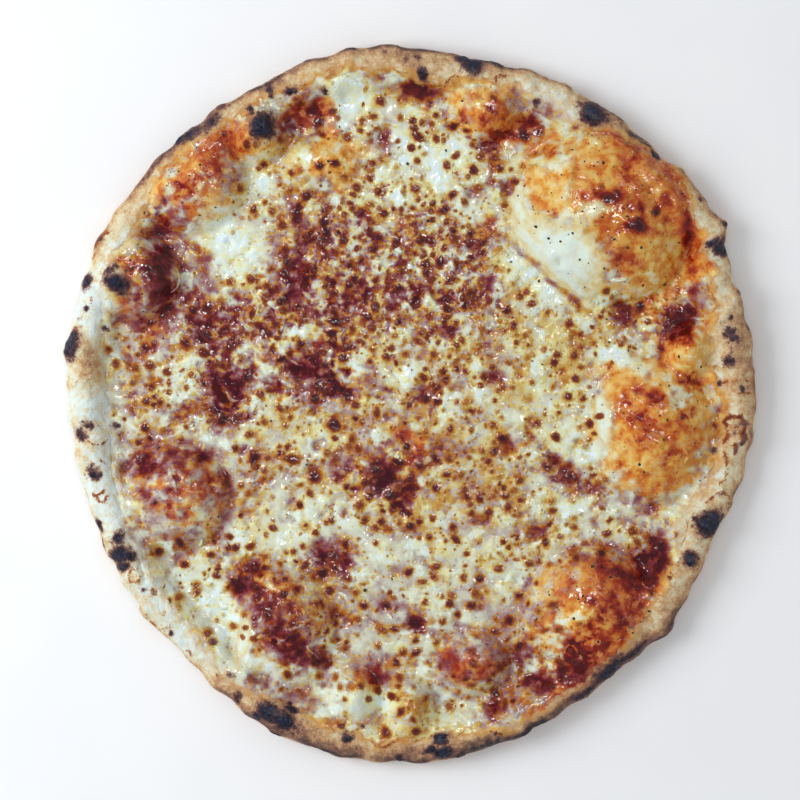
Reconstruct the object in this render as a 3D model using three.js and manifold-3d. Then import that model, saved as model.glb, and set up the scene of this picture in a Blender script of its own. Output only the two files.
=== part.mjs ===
// A round, hand-stretched margherita pizza, lying flat with its underside on z = 0. The baked dough is thin
// in the middle and swells to a rim with large air bubbles. Tomato sauce coats it up to the rim, and a coat
// of melted mozzarella lies on the sauce, open where the sauce has pooled. Millimetres, +Z up.

import * as THREE from "three";
import { mergeVertices } from "three/addons/utils/BufferGeometryUtils.js";
import Module from "manifold-3d";

// Driving dimensions
const crustRadius = 156.5; // mean radius of the outer edge
const doughThickness = 3.6; // baked dough under the toppings
const doughWave = 0.5; // slow rise and fall of that dough
const rimHeight = 13.5; // crest of the rim above the table
const rimHeightWave = 0.8; // its small rise and fall round the rim
const rimSpan = 25; // from the outer edge to where the rim has sunk into the dough
const rimCrestIn = 9; // crest of the rim, in from the outer edge
const rimBellyShare = 0.42; // height of the widest point of the rim, as a share of its crest
const bareWidth = 11.5; // rim with no topping, measured in from the outer edge
const sauceShowWidth = 3.5; // sauce that shows outside the cheese
const sauceShowWave = 1.8; // and how much that varies round the edge
const sauceThickness = 0.9;
const cheeseThickness = 1.4;
const coatEdge = 0.45; // thickness of each coat at its outer edge
const coatGap = 0.3; // clearance between dough, sauce and cheese
const cragDepth = 0.7; // fine unevenness of the outer edge
const ringCount = 17; // rings of the plan mesh under the cheese
const rimSteps = 12 * ringCount; // vertices round the rim
const rimTopSteps = [0.6, 0.27, 0.06]; // rings over the bare rim, in shares of its width from the outer edge
const rimUnderSteps = [0.14, 0.5]; // rings under its widest point, in shares of the crest's distance
const rimUnderRise = 0.3; // height of the first of those, as a share of the widest point's

// Swells and dents of the outer edge: direction and half width in degrees, reach in mm
const edgeSwells = [
  { toward: 62, spread: 30, reach: 3.2 },
  { toward: 100, spread: 14, reach: 4.8 },
  { toward: 129, spread: 14, reach: 1.8 },
  { toward: 151, spread: 9, reach: 1.6 },
  { toward: 200, spread: 27, reach: -5.2 },
  { toward: 229, spread: 9, reach: -2.8 },
  { toward: 256, spread: 17, reach: 4.6 },
  { toward: 275, spread: 14, reach: 3.6 },
  { toward: 307, spread: 12, reach: -3.4 },
  { toward: 335, spread: 14, reach: -6 },
  { toward: 36, spread: 7, reach: 4.2 },
  { toward: 79, spread: 5, reach: -1.6 },
  { toward: 319.5, spread: 3, reach: 2.2 },
  { toward: 29.5, spread: 2.2, reach: 5.5 }, // burnt nub
  { toward: 171.5, spread: 2.5, reach: 3 }, // burnt nub
];

// Where the bare rim is wider or narrower than usual
const bareSwells = [
  { toward: 88, spread: 9, reach: 6 },
  { toward: 64, spread: 9, reach: 6 },
  { toward: 43, spread: 7, reach: -6.5 },
  { toward: 2, spread: 17, reach: 5.5 },
  { toward: 341, spread: 6, reach: 6 },
  { toward: 325, spread: 9, reach: 3 },
  { toward: 248, spread: 7, reach: 3.5 },
  { toward: 231, spread: 12, reach: -7 },
  { toward: 204, spread: 5, reach: 2 },
  { toward: 180, spread: 14, reach: 8 },
  { toward: 157, spread: 3.5, reach: -7 },
  { toward: 138, spread: 4, reach: -3 },
];

// Where the rim stands higher or lower than usual
const heightSwells = [
  { toward: 80, spread: 35, reach: 1.5 },
  { toward: 180, spread: 40, reach: 2 },
  { toward: 228, spread: 14, reach: -3 },
  { toward: 300, spread: 18, reach: 2 },
  { toward: 20, spread: 20, reach: 1.5 },
  { toward: 140, spread: 10, reach: -1.5 },
];

// Air bubbles in the dough, clockwise from the upper right: centre, half sizes, turn in degrees, top above
// the table, and foot, which is under 1 where the side rises steeply and over 1 where it swells up softly
const bubbles = [
  { at: [86, 83], half: [42, 36], turn: -38, top: 27, foot: 0.85 },
  { at: [109, -11], half: [28, 34], turn: 0, top: 20, foot: 1 },
  { at: [126, 24], half: [12, 14], turn: -20, top: 15, foot: 1.2 },
  { at: [80, -93], half: [32, 28], turn: 40, top: 21, foot: 1 },
  { at: [29, -117], half: [17, 15], turn: 0, top: 14, foot: 1.2 },
  { at: [0, -137], half: [13, 16], turn: 0, top: 16, foot: 1.2 },
  { at: [-25, -131], half: [13, 13], turn: 0, top: 14.5, foot: 1.3 },
  { at: [-57, -98], half: [24, 30], turn: 25, top: 15, foot: 1.1 },
  { at: [-105, -42], half: [25, 25], turn: 0, top: 17, foot: 1 },
  { at: [-122, 57], half: [20, 20], turn: 0, top: 18, foot: 1 },
  { at: [-95, 97], half: [25, 20], turn: 30, top: 17, foot: 1 },
  { at: [-68, 121], half: [14, 14], turn: 0, top: 18, foot: 1.2 },
  { at: [-40, 108], half: [20, 13], turn: 10, top: 10, foot: 1.3 },
  { at: [33, 131], half: [17, 15], turn: 0, top: 16, foot: 1.2 },
];

// Burnt blisters that stand up from the rim and the bubbles: centre, radius, rise
const blisters = [
  { at: [-131, 55], radius: 8, rise: 3.5 },
  { at: [-68, 124], radius: 7, rise: 2.5 },
  { at: [84, 129], radius: 7, rise: 2 },
  { at: [27, 150], radius: 6, rise: 1.5 },
  { at: [134, -53], radius: 8, rise: 3 },
  { at: [-60, -139], radius: 9, rise: 2.5 },
  { at: [-126, -68], radius: 7, rise: 2.5 },
  { at: [-104, 120], radius: 6, rise: 1.5 },
];

// Openings in the cheese where sauce has pooled or a bubble has burst through: centre, half sizes, turn
const pools = [
  { at: [-82, 5], half: [8, 10], turn: 20 },
  { at: [-46, 16], half: [10, 7], turn: -15 },
  { at: [-9, -35], half: [6, 10], turn: 30 },
  { at: [118, 40], half: [7, 9], turn: -10 },
  { at: [108, -71], half: [6, 10], turn: -25 },
  { at: [-50, -110], half: [8, 10], turn: 40 },
  { at: [-48, 127], half: [9, 6], turn: 15 },
  { at: [-50, 56], half: [6, 12], turn: 25 },
  { at: [72, -42], half: [12, 4.5], turn: -35 },
  { at: [-104, -42], half: [11, 12], turn: 0 },
  { at: [88, -96], half: [13, 12], turn: 30 },
  { at: [30, -117], half: [8, 7], turn: 0 },
  { at: [35, 52], half: [5, 9], turn: 0 },
];
const poolPoints = 14; // corners of one opening
const poolWobble = 0.16; // unevenness of its outline
const cutterHeight = 50; // more than the pizza's own height

const radians = THREE.MathUtils.degToRad;

// Sum of the smooth swells that reach a direction given in degrees
function swellAt(swells, degrees) {
  let sum = 0;
  for (const { toward, spread, reach } of swells) {
    const away = THREE.MathUtils.euclideanModulo(degrees - toward + 180, 360) - 180;
    sum += reach * Math.exp(-((away / spread) ** 2));
  }
  return sum;
}

const degreesOf = (x, y) => THREE.MathUtils.radToDeg(Math.atan2(y, x));

function edgeRadius(degrees) {
  const turn = radians(degrees);
  const crags = Math.sin(37 * turn + 1) * Math.sin(11 * turn) + 0.5 * Math.sin(61 * turn + 2);
  return crustRadius + swellAt(edgeSwells, degrees) + cragDepth * crags;
}

const bareAt = (degrees) => Math.max(3.5, bareWidth + swellAt(bareSwells, degrees));

function crestAt(degrees) {
  return rimHeight + swellAt(heightSwells, degrees) + rimHeightWave * Math.sin(radians(9 * degrees));
}

// Dome of height 1 over an ellipse
function dome(x, y, { at, half, turn, foot }) {
  const c = Math.cos(radians(turn));
  const s = Math.sin(radians(turn));
  const dx = x - at[0];
  const dy = y - at[1];
  const reach = Math.hypot((dx * c + dy * s) / half[0], (dy * c - dx * s) / half[1]);
  return reach < 1 ? (1 - reach ** 2) ** foot : 0;
}

// Height of the dough's upper side at a point of the plan
function doughTop(x, y) {
  const degrees = degreesOf(x, y);
  const inset = Math.max(0, edgeRadius(degrees) - Math.hypot(x, y));
  const wave = Math.sin(x / 19 + 1) * Math.cos(y / 23) + Math.sin((x + y) / 31);
  const flat = doughThickness + doughWave * wave;
  const crest = crestAt(degrees);
  const belly = crest * rimBellyShare;
  let height = flat;
  if (inset < rimCrestIn) {
    height = belly + (crest - belly) * Math.sqrt(1 - (1 - inset / rimCrestIn) ** 2);
  } else if (inset < rimSpan) {
    const sunk = (inset - rimCrestIn) / (rimSpan - rimCrestIn);
    height = flat + (crest - flat) * (0.5 + 0.5 * Math.cos(Math.PI * sunk));
  }
  const overEdge = THREE.MathUtils.clamp(inset / rimCrestIn, 0, 1);
  for (const bubble of bubbles) {
    const lift = dome(x, y, bubble) * overEdge;
    if (lift > 0) height = Math.max(height, height + (bubble.top - height) * lift);
  }
  for (const { at, radius, rise } of blisters) {
    height += rise * dome(x, y, { at, half: [radius, radius], turn: 0, foot: 1.2 });
  }
  return height;
}

// Rings of plan points. Ring k under the cheese has 6k points; the last ring is the sauce's outer edge.
function planRings() {
  const rings = [[[0, 0]]];
  for (let k = 1; k <= ringCount + 1; k++) {
    const points = 6 * Math.min(k, ringCount);
    const ring = [];
    for (let j = 0; j < points; j++) {
      const degrees = (360 * j) / points;
      const sauceRadius = edgeRadius(degrees) - bareAt(degrees);
      const sauceShown = sauceShowWidth + sauceShowWave * Math.sin(radians(13 * degrees));
      const cheeseRadius = sauceRadius - sauceShown;
      const radius = k > ringCount ? sauceRadius : (cheeseRadius * k) / ringCount;
      ring.push([radius * Math.cos(radians(degrees)), radius * Math.sin(radians(degrees))]);
    }
    rings.push(ring);
  }
  return rings;
}

// Triangles between ring k - 1 and ring k of the growing hexagon pattern, counter-clockwise from above
function hexagonBand(k, inner, outer) {
  const faces = [];
  const innerCount = Math.max(1, 6 * (k - 1));
  for (let side = 0; side < 6; side++) {
    for (let i = 0; i < k; i++) {
      const in0 = inner + ((side * (k - 1) + i) % innerCount);
      const out0 = outer + side * k + i;
      const out1 = outer + ((side * k + i + 1) % (6 * k));
      faces.push([in0, out0, out1]);
      if (i < k - 1) faces.push([in0, out1, inner + ((side * (k - 1) + i + 1) % innerCount)]);
    }
  }
  return faces;
}

// Triangles between two rings with the same number of points
function evenBand(count, inner, outer) {
  const faces = [];
  for (let i = 0; i < count; i++) {
    const j = (i + 1) % count;
    faces.push([inner + i, outer + i, outer + j], [inner + i, outer + j, inner + j]);
  }
  return faces;
}

// Triangles from a ring of count points to one with twice as many
function doublingBand(count, inner, outer) {
  const faces = [];
  for (let i = 0; i < count; i++) {
    const j = (i + 1) % count;
    const mid = outer + 2 * i + 1;
    faces.push([inner + i, outer + 2 * i, mid], [inner + i, mid, inner + j]);
    faces.push([inner + j, mid, outer + ((2 * i + 2) % (2 * count))]);
  }
  return faces;
}

const rings = planRings();
const firstOf = rings.map((ring, k) => rings.slice(0, k).reduce((sum, one) => sum + one.length, 0));

// Triangles of the plan out to a ring, counter-clockwise from above
function planFaces(lastRing) {
  const faces = [];
  for (let k = 1; k <= lastRing; k++) {
    const even = k > ringCount;
    const inner = firstOf[k - 1];
    const outer = firstOf[k];
    faces.push(...(even ? evenBand(6 * ringCount, inner, outer) : hexagonBand(k, inner, outer)));
  }
  return faces;
}

function meshGeometry(points, faces) {
  const geometry = new THREE.BufferGeometry();
  geometry.setAttribute("position", new THREE.Float32BufferAttribute(points.flat(), 3));
  geometry.setIndex(faces.flat());
  return geometry;
}

// The whole baked dough: upper side, rounded rim and flat underside
function crustGeometry() {
  const points = rings.flat().map(([x, y]) => [x, y, doughTop(x, y)]);
  const faces = planFaces(ringCount + 1);
  // One ring of the rim: how far in from the outer edge each point is, and its height
  const addRing = (insetAt, heightAt) => {
    const first = points.length;
    for (let j = 0; j < rimSteps; j++) {
      const degrees = (360 * j) / rimSteps;
      const radius = edgeRadius(degrees) - insetAt(degrees);
      const x = radius * Math.cos(radians(degrees));
      const y = radius * Math.sin(radians(degrees));
      points.push([x, y, heightAt(degrees, x, y)]);
    }
    return first;
  };
  const onTop = (degrees, x, y) => doughTop(x, y);
  const belly = (degrees) => crestAt(degrees) * rimBellyShare;
  const [tuck, foot] = rimUnderSteps;
  const starts = [
    ...rimTopSteps.map((share) => addRing((degrees) => share * bareAt(degrees), onTop)),
    addRing(() => 0, belly),
    addRing(() => tuck * rimCrestIn, (degrees) => rimUnderRise * belly(degrees)),
    addRing(() => foot * rimCrestIn, () => 0),
  ];
  faces.push(...doublingBand(6 * ringCount, firstOf[ringCount + 1], starts[0]));
  for (let i = 1; i < starts.length; i++) {
    faces.push(...evenBand(rimSteps, starts[i - 1], starts[i]));
  }
  const middle = points.push([0, 0, 0]) - 1;
  const under = starts.at(-1);
  for (let i = 0; i < rimSteps; i++) faces.push([under + i, middle, under + ((i + 1) % rimSteps)]);
  return meshGeometry(points, faces);
}

// A coat of even thickness, thin at its outer edge, lying a small gap above the surface under it
function coatGeometry(lastRing, underTop, thickness) {
  const plan = rings.slice(0, lastRing + 1);
  const lower = plan.flat().map(([x, y]) => [x, y, underTop(x, y) + coatGap]);
  const upper = plan.flatMap((ring, k) => {
    const depth = k === lastRing ? coatEdge : thickness;
    return ring.map(([x, y]) => [x, y, underTop(x, y) + coatGap + depth]);
  });
  const shift = lower.length;
  const top = planFaces(lastRing);
  const faces = top.map(([a, b, c]) => [a, c, b]);
  faces.push(...top.map((face) => face.map((index) => index + shift)));
  const count = plan.at(-1).length;
  const edge = firstOf[lastRing];
  faces.push(...evenBand(count, edge + shift, edge));
  return meshGeometry([...lower, ...upper], faces);
}

// Prism that stands through the cheese over one pool, with an uneven round outline
function poolCutter({ at, half, turn }, index) {
  const outline = [];
  for (let i = 0; i < poolPoints; i++) {
    const angle = (2 * Math.PI * i) / poolPoints;
    const wobble = Math.sin(3 * angle + index) + 0.5 * Math.sin(5 * angle + 2 * index);
    const reach = 1 + poolWobble * wobble;
    outline.push(new THREE.Vector2(half[0] * reach * Math.cos(angle), half[1] * reach * Math.sin(angle)));
  }
  const options = { depth: cutterHeight, bevelEnabled: false };
  const cutter = new THREE.ExtrudeGeometry(new THREE.Shape(outline), options);
  cutter.rotateZ(radians(turn));
  cutter.translate(at[0], at[1], 0);
  return cutter;
}

const wasm = await Module();
wasm.setup();

function toSolid(geometry) {
  const bare = geometry.clone();
  bare.deleteAttribute("normal");
  bare.deleteAttribute("uv");
  const merged = mergeVertices(bare, 1e-4);
  const vertProperties = merged.getAttribute("position").array;
  return new wasm.Manifold(
    new wasm.Mesh({ numProp: 3, vertProperties, triVerts: new Uint32Array(merged.index.array) }),
  );
}

function toGeometry(solid) {
  const { vertProperties, triVerts } = solid.getMesh();
  const geometry = new THREE.BufferGeometry();
  geometry.setAttribute("position", new THREE.BufferAttribute(vertProperties, 3));
  geometry.setIndex(new THREE.BufferAttribute(triVerts, 1));
  return geometry;
}

function cheeseGeometry() {
  const underTop = (x, y) => doughTop(x, y) + coatGap + sauceThickness;
  let cheese = toSolid(coatGeometry(ringCount, underTop, cheeseThickness));
  pools.forEach((pool, index) => {
    cheese = cheese.subtract(toSolid(poolCutter(pool, index)));
  });
  return toGeometry(cheese);
}

function addPiece(group, name, geometry, look) {
  geometry.computeVertexNormals();
  const mesh = new THREE.Mesh(geometry, new THREE.MeshStandardMaterial({ metalness: 0, ...look }));
  mesh.name = name;
  group.add(mesh);
}

const pizza = new THREE.Group();
addPiece(pizza, "crust", crustGeometry(), { color: 0xdcbb8c, roughness: 0.75 });
addPiece(pizza, "tomato_sauce", coatGeometry(ringCount + 1, doughTop, sauceThickness), {
  color: 0x8c2a1c,
  roughness: 0.35,
});
addPiece(pizza, "mozzarella", cheeseGeometry(), { color: 0xe2dab0, roughness: 0.4 });

// The middle of the outline goes to the origin
const middle = new THREE.Box3().setFromObject(pizza).getCenter(new THREE.Vector3());
pizza.position.set(-middle.x, -middle.y, 0);

export default pizza;
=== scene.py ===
import math

import bmesh
import bpy
import numpy as np
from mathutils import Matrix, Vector, kdtree


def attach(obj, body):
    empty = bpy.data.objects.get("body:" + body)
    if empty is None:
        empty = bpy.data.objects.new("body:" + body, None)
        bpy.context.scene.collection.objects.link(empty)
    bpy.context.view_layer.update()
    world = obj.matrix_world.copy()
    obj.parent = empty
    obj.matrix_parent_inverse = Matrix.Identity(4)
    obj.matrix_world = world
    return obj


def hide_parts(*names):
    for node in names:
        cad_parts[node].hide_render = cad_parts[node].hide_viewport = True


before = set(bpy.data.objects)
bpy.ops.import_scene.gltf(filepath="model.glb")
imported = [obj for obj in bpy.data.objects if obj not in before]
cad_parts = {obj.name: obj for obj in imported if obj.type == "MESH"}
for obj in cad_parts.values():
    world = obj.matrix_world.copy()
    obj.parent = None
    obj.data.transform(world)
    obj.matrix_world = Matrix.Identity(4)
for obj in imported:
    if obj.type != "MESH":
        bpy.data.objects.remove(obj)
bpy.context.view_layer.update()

# A margherita pizza: baked dough with a bubbled rim, tomato sauce and melted, browned mozzarella.
# Plans and heights are worked out in millimetres and turned into metres where a mesh is made.

mm = 0.001


def latticeValue(ix, iy, seed):
    # repeatable number from -1 to 1 for each lattice point
    h = (ix * 374761393 + iy * 668265263 + seed * 974634777) & 0xFFFFFFFF
    h = ((h ^ (h >> 13)) * 1274126177) & 0xFFFFFFFF
    return ((h ^ (h >> 16)) & 0xFFFF) / 32767.5 - 1.0


def cloud(x, y, size, seed):
    # one layer of smooth noise, about -1 to 1, with lumps of the given size in mm
    turn = 0.7 * seed
    u = (x * math.cos(turn) - y * math.sin(turn)) / size
    v = (x * math.sin(turn) + y * math.cos(turn)) / size
    ix = np.floor(u).astype(np.int64)
    iy = np.floor(v).astype(np.int64)
    fx = u - ix
    fy = v - iy
    fx = fx * fx * fx * (fx * (fx * 6 - 15) + 10)
    fy = fy * fy * fy * (fy * (fy * 6 - 15) + 10)
    low = latticeValue(ix, iy, seed) * (1 - fx) + latticeValue(ix + 1, iy, seed) * fx
    high = latticeValue(ix, iy + 1, seed) * (1 - fx) + latticeValue(ix + 1, iy + 1, seed) * fx
    return low * (1 - fy) + high * fy


def clouds(x, y, size, seed, layers=3):
    # several layers, each half the size and half the strength of the one before
    total = 0.0
    for i in range(layers):
        total = total + cloud(x, y, size / 2 ** i, seed + 11 * i) / 2 ** i
    return total / 1.4


def ease(value, low, high):
    # 0 below low, 1 above high, smooth between
    t = np.clip((value - low) / (high - low), 0, 1)
    return t * t * (3 - 2 * t)


def ellipseReach(x, y, cx, cy, halfX, halfY, turn):
    # 0 at the middle of an ellipse, 1 on its edge
    c = math.cos(math.radians(turn))
    s = math.sin(math.radians(turn))
    dx = x - cx
    dy = y - cy
    return np.hypot((dx * c + dy * s) / halfX, (dy * c - dx * s) / halfY)


def paint(x, y, places, warp=0.0, seed=5):
    # sum of soft patches: centre, half sizes, turn in degrees, amount; warp frays them by some mm
    if warp:
        x, y = x + warp * clouds(x, y, 9, seed), y + warp * clouds(x, y, 9, seed + 3)
    total = np.zeros_like(x)
    for cx, cy, halfX, halfY, turn, amount in places:
        total = total + amount * np.exp(-1.1 * ellipseReach(x, y, cx, cy, halfX, halfY, turn) ** 2.5)
    return total


dough = {
    "radius": 156.5,
    "thickness": 3.6,  # in the middle
    "wave": 0.5,
    "rimHeight": 13.5,
    "rimHeightWave": 0.8,
    "rimSpan": 25.0,  # from the edge to the flat middle
    "crestIn": 9.0,  # from the edge to the rim's highest line
    "bellyShare": 0.42,  # how high the side is widest, as a share of the rim's height
    "bareWidth": 11.5,  # rim without sauce
    "bareLeast": 3.5,
    "cragDepth": 0.7,  # of the uneven outline
    # direction and half width in degrees, reach in mm
    "edgeSwells": [
        (62, 30, 3.2), (100, 14, 4.8), (129, 14, 1.8), (151, 9, 1.6), (200, 27, -5.2),
        (229, 9, -2.8), (256, 17, 4.6), (275, 14, 3.6), (307, 12, -3.4), (335, 14, -6),
        (36, 7, 4.2), (79, 5, -1.6), (319.5, 3, 2.2), (29.5, 2.2, 5.5), (171.5, 2.5, 3),
    ],
    "bareSwells": [
        (88, 9, 6), (64, 9, 6), (43, 7, -6.5), (2, 17, 5.5), (341, 6, 6), (325, 9, 3),
        (248, 7, 3.5), (231, 12, -7), (204, 5, 2), (180, 14, 8), (157, 3.5, -7), (138, 4, -3),
    ],
    "heightSwells": [
        (80, 35, 1.5), (180, 40, 2), (228, 14, -3), (300, 18, 2), (20, 20, 1.5), (140, 10, -1.5),
    ],
    # air bubbles: centre, half sizes, turn in degrees, top above the table, foot
    "bubbles": [
        (86, 83, 42, 36, -38, 26.5, 0.74), (109, -11, 28, 34, 0, 20, 1),
        (126, 24, 12, 14, -20, 15, 1.2), (80, -93, 32, 28, 40, 21, 1), (29, -117, 17, 15, 0, 14, 1.2),
        (0, -137, 13, 16, 0, 16, 1.2), (-25, -131, 13, 13, 0, 14.5, 1.3),
        (-57, -98, 24, 30, 25, 15, 1.1), (-105, -42, 25, 25, 0, 17, 1), (-122, 57, 20, 20, 0, 18, 1),
        (-95, 97, 25, 20, 30, 17, 1), (-68, 121, 14, 14, 0, 18, 1.2), (-40, 108, 20, 13, 10, 10, 1.3),
        (33, 131, 17, 15, 0, 16, 1.2),
    ],
    # burnt blisters: centre, radius, rise
    "blisters": [
        (-131, 55, 8, 3.5), (-68, 124, 7, 2.5), (84, 129, 7, 2), (27, 150, 6, 1.5),
        (134, -53, 8, 3), (-60, -139, 9, 2.5), (-126, -68, 7, 2.5), (-104, 120, 6, 1.5),
    ],
    # dimples and ridges on the bubbles, too fine for the solids: centre, half sizes, turn, rise
    "creases": [
        (60, 98, 11, 9, 10, -3.2), (70, 96, 3.5, 14, -12, 1.6), (48, 92, 3, 15, 6, 1.4),
        (61, 67, 21, 4.5, -47, 2.4), (92, 68, 4, 22, -30, 0.8), (72, 74, 15, 6, -45, -1.4),
        (97, 108, 16, 7, -30, -1.6), (118, 72, 6, 18, 15, -2.0), (86, 84, 6, 5, 0, 0.5),
        (100, 97, 14, 4, -32, 0.8), (84, 110, 20, 5, -14, 1.0), (108, 92, 5, 12, 20, -1.0),
        (105, -7, 18, 6, -36, -2.4), (89, -8, 3.5, 16, 6, 2.0), (118, -14, 8, 11, 20, -1.2),
        (108, -26, 10, 6, 20, 0.9), (76, -95, 10, 6, 30, 1.2), (92, -84, 10, 12, 30, -0.9),
        (62, -104, 8, 5, 10, 0.9), (-72, -110, 5, 17, -10, 1.4), (-103, -33, 12, 6, 20, 0.9),
        (-110, -50, 8, 8, 0, -0.8), (-88, -42, 4, 14, 0, -1.0), (-95, 103, 14, 6, 40, 0.9),
    ],
}


def swellAt(swells, degrees):
    # sum of the swellings at each direction
    total = np.zeros_like(degrees)
    for toward, spread, reach in swells:
        away = (degrees - toward + 180) % 360 - 180
        total = total + reach * np.exp(-((away / spread) ** 2))
    return total


def edgeRadius(degrees):
    turn = np.radians(degrees)
    crags = np.sin(37 * turn + 1) * np.sin(11 * turn) + 0.5 * np.sin(61 * turn + 2)
    return dough["radius"] + swellAt(dough["edgeSwells"], degrees) + dough["cragDepth"] * crags


def bareAt(degrees):
    return np.maximum(dough["bareLeast"], dough["bareWidth"] + swellAt(dough["bareSwells"], degrees))


def crestAt(degrees):
    wave = dough["rimHeightWave"] * np.sin(np.radians(9 * degrees))
    return dough["rimHeight"] + swellAt(dough["heightSwells"], degrees) + wave


def dome(x, y, cx, cy, halfX, halfY, turn, foot):
    # 1 at the middle of an ellipse, 0 outside it; a small foot makes it full, a large one pointed
    reach = ellipseReach(x, y, cx, cy, halfX, halfY, turn)
    return np.clip(1 - reach ** 2, 0, 1) ** foot


def polar(x, y):
    # direction in degrees and mm in from the edge
    degrees = np.degrees(np.arctan2(y, x)) % 360
    return degrees, edgeRadius(degrees) - np.hypot(x, y)


def doughTop(x, y):
    # height of the dough's upper side, in mm
    degrees, inset = polar(x, y)
    inset = np.maximum(inset, 0)
    wave = np.sin(x / 19 + 1) * np.cos(y / 23) + np.sin((x + y) / 31)
    flat = dough["thickness"] + dough["wave"] * wave
    crest = crestAt(degrees)
    belly = crest * dough["bellyShare"]
    over = np.clip(inset / dough["crestIn"], 0, 1)
    outer = belly + (crest - belly) * np.sqrt(1 - (1 - over) ** 2)
    sunk = np.clip((inset - dough["crestIn"]) / (dough["rimSpan"] - dough["crestIn"]), 0, 1)
    inner = flat + (crest - flat) * (0.5 + 0.5 * np.cos(np.pi * sunk))
    height = np.where(inset < dough["crestIn"], outer, inner)
    for cx, cy, halfX, halfY, turn, top, foot in dough["bubbles"]:
        lift = dome(x, y, cx, cy, halfX, halfY, turn, foot) * over
        height = np.maximum(height, height + (top - height) * lift)
    for cx, cy, radius, rise in dough["blisters"]:
        height = height + rise * dome(x, y, cx, cy, radius, radius, 0, 1.2)
    for cx, cy, halfX, halfY, turn, rise in dough["creases"]:
        height = height + rise * dome(x, y, cx, cy, halfX, halfY, turn, 1.6) * over
    return height


allRound = np.arange(0, 360, 0.25)
outlineX = edgeRadius(allRound) * np.cos(np.radians(allRound))
outlineY = edgeRadius(allRound) * np.sin(np.radians(allRound))
planShift = np.array([
    -(outlineX.min() + outlineX.max()) / 2,
    -(outlineY.min() + outlineY.max()) / 2,
    0.0,
])


def addMesh(name, points, faces, marks=None, flatMap=None, sharp=None):
    # points in mm on the plan, triangles as index rows, marks as numbers kept on each vertex
    mesh = bpy.data.meshes.new(name)
    count = len(faces)
    mesh.vertices.add(len(points))
    mesh.vertices.foreach_set("co", ((points + planShift) * mm).astype(np.float32).ravel())
    mesh.loops.add(count * 3)
    mesh.loops.foreach_set("vertex_index", faces.astype(np.int32).ravel())
    mesh.polygons.add(count)
    mesh.polygons.foreach_set("loop_start", np.arange(0, count * 3, 3, dtype=np.int32))
    mesh.polygons.foreach_set("loop_total", np.full(count, 3, dtype=np.int32))
    mesh.update(calc_edges=True)
    mesh.validate()
    mesh.shade_smooth()
    if sharp is not None:
        ends = np.zeros(len(mesh.edges) * 2, np.int32)
        mesh.edges.foreach_get("vertices", ends)
        layer = mesh.attributes.new("sharp_edge", "BOOLEAN", "EDGE")
        layer.data.foreach_set("value", sharp[ends].reshape(-1, 2).all(1))
    for label, values in (marks or {}).items():
        layer = mesh.attributes.new(label, "FLOAT", "POINT")
        layer.data.foreach_set("value", np.asarray(values, dtype=np.float32))
    if flatMap is not None:
        layer = mesh.uv_layers.new(name="OFBake")
        layer.data.foreach_set("uv", flatMap[faces.ravel()].astype(np.float32).ravel())
    piece = bpy.data.objects.new(name, mesh)
    bpy.context.scene.collection.objects.link(piece)
    return piece


def triangleLattice(step, reach):
    # even triangles over a square, as plan points and index rows
    rise = step * math.sqrt(3) / 2
    rows = int(reach / rise) * 2 + 1
    columns = int(reach / step) * 2 + 2
    r, c = np.meshgrid(np.arange(rows), np.arange(columns), indexing="ij")
    x = (c - columns / 2 + 0.5 * (r % 2)) * step
    y = (r - rows / 2) * rise
    index = r * columns + c
    a = index[:-1, :-1]
    b = index[:-1, 1:]
    d = index[1:, :-1]
    e = index[1:, 1:]
    even = (r[:-1, :-1] % 2) == 0
    first = np.where(even[..., None], np.stack([a, b, d], -1), np.stack([a, b, e], -1))
    second = np.where(even[..., None], np.stack([b, e, d], -1), np.stack([a, e, d], -1))
    faces = np.concatenate([first.reshape(-1, 3), second.reshape(-1, 3)])
    return x.ravel(), y.ravel(), faces


def cutSheet(step, reach, cover):
    # lattice triangles where cover is over 0, cut along its zero line, and which points lie on the cut
    x, y, faces = triangleLattice(step, reach)
    near = np.hypot(x, y) < reach
    faces = faces[near[faces].all(1)]
    value = cover(x, y)
    tiny = 0.12 * step  # keeps the cut off the lattice points
    value = np.where(np.abs(value) < tiny, np.where(value < 0, -tiny, tiny), value)
    inside = value > 0
    count = inside[faces].sum(1)
    whole = faces[count == 3]
    made = []
    keys = []
    for wanted in (1, 2):
        part = faces[count == wanted]
        odd = inside[part] if wanted == 1 else ~inside[part]
        turn = odd.argmax(1)[:, None]
        part = np.take_along_axis(part, (turn + np.arange(3)) % 3, 1)
        a, b, c = part.T
        keys.append(np.stack([np.minimum(a, b), np.maximum(a, b)], 1))
        keys.append(np.stack([np.minimum(a, c), np.maximum(a, c)], 1))
        made.append(part)
    edges, where = np.unique(np.concatenate(keys), axis=0, return_inverse=True)
    where = where.reshape(-1) + len(x)
    n1, n2 = len(made[0]), len(made[1])
    p1, q1 = where[:n1], where[n1:2 * n1]
    p2, q2 = where[2 * n1:2 * n1 + n2], where[2 * n1 + n2:]
    single = np.stack([made[0][:, 0], p1, q1], 1)
    pairA = np.stack([p2, made[1][:, 1], made[1][:, 2]], 1)
    pairB = np.stack([p2, made[1][:, 2], q2], 1)
    v0, v1 = value[edges[:, 0]], value[edges[:, 1]]
    share = v0 / (v0 - v1)
    cutX = x[edges[:, 0]] + share * (x[edges[:, 1]] - x[edges[:, 0]])
    cutY = y[edges[:, 0]] + share * (y[edges[:, 1]] - y[edges[:, 0]])
    x = np.concatenate([x, cutX])
    y = np.concatenate([y, cutY])
    onCut = np.arange(len(x)) >= len(x) - len(edges)
    faces = np.concatenate([whole, single, pairA, pairB])
    used, faces = np.unique(faces, return_inverse=True)
    return x[used], y[used], faces.reshape(-1, 3), onCut[used]


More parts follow.
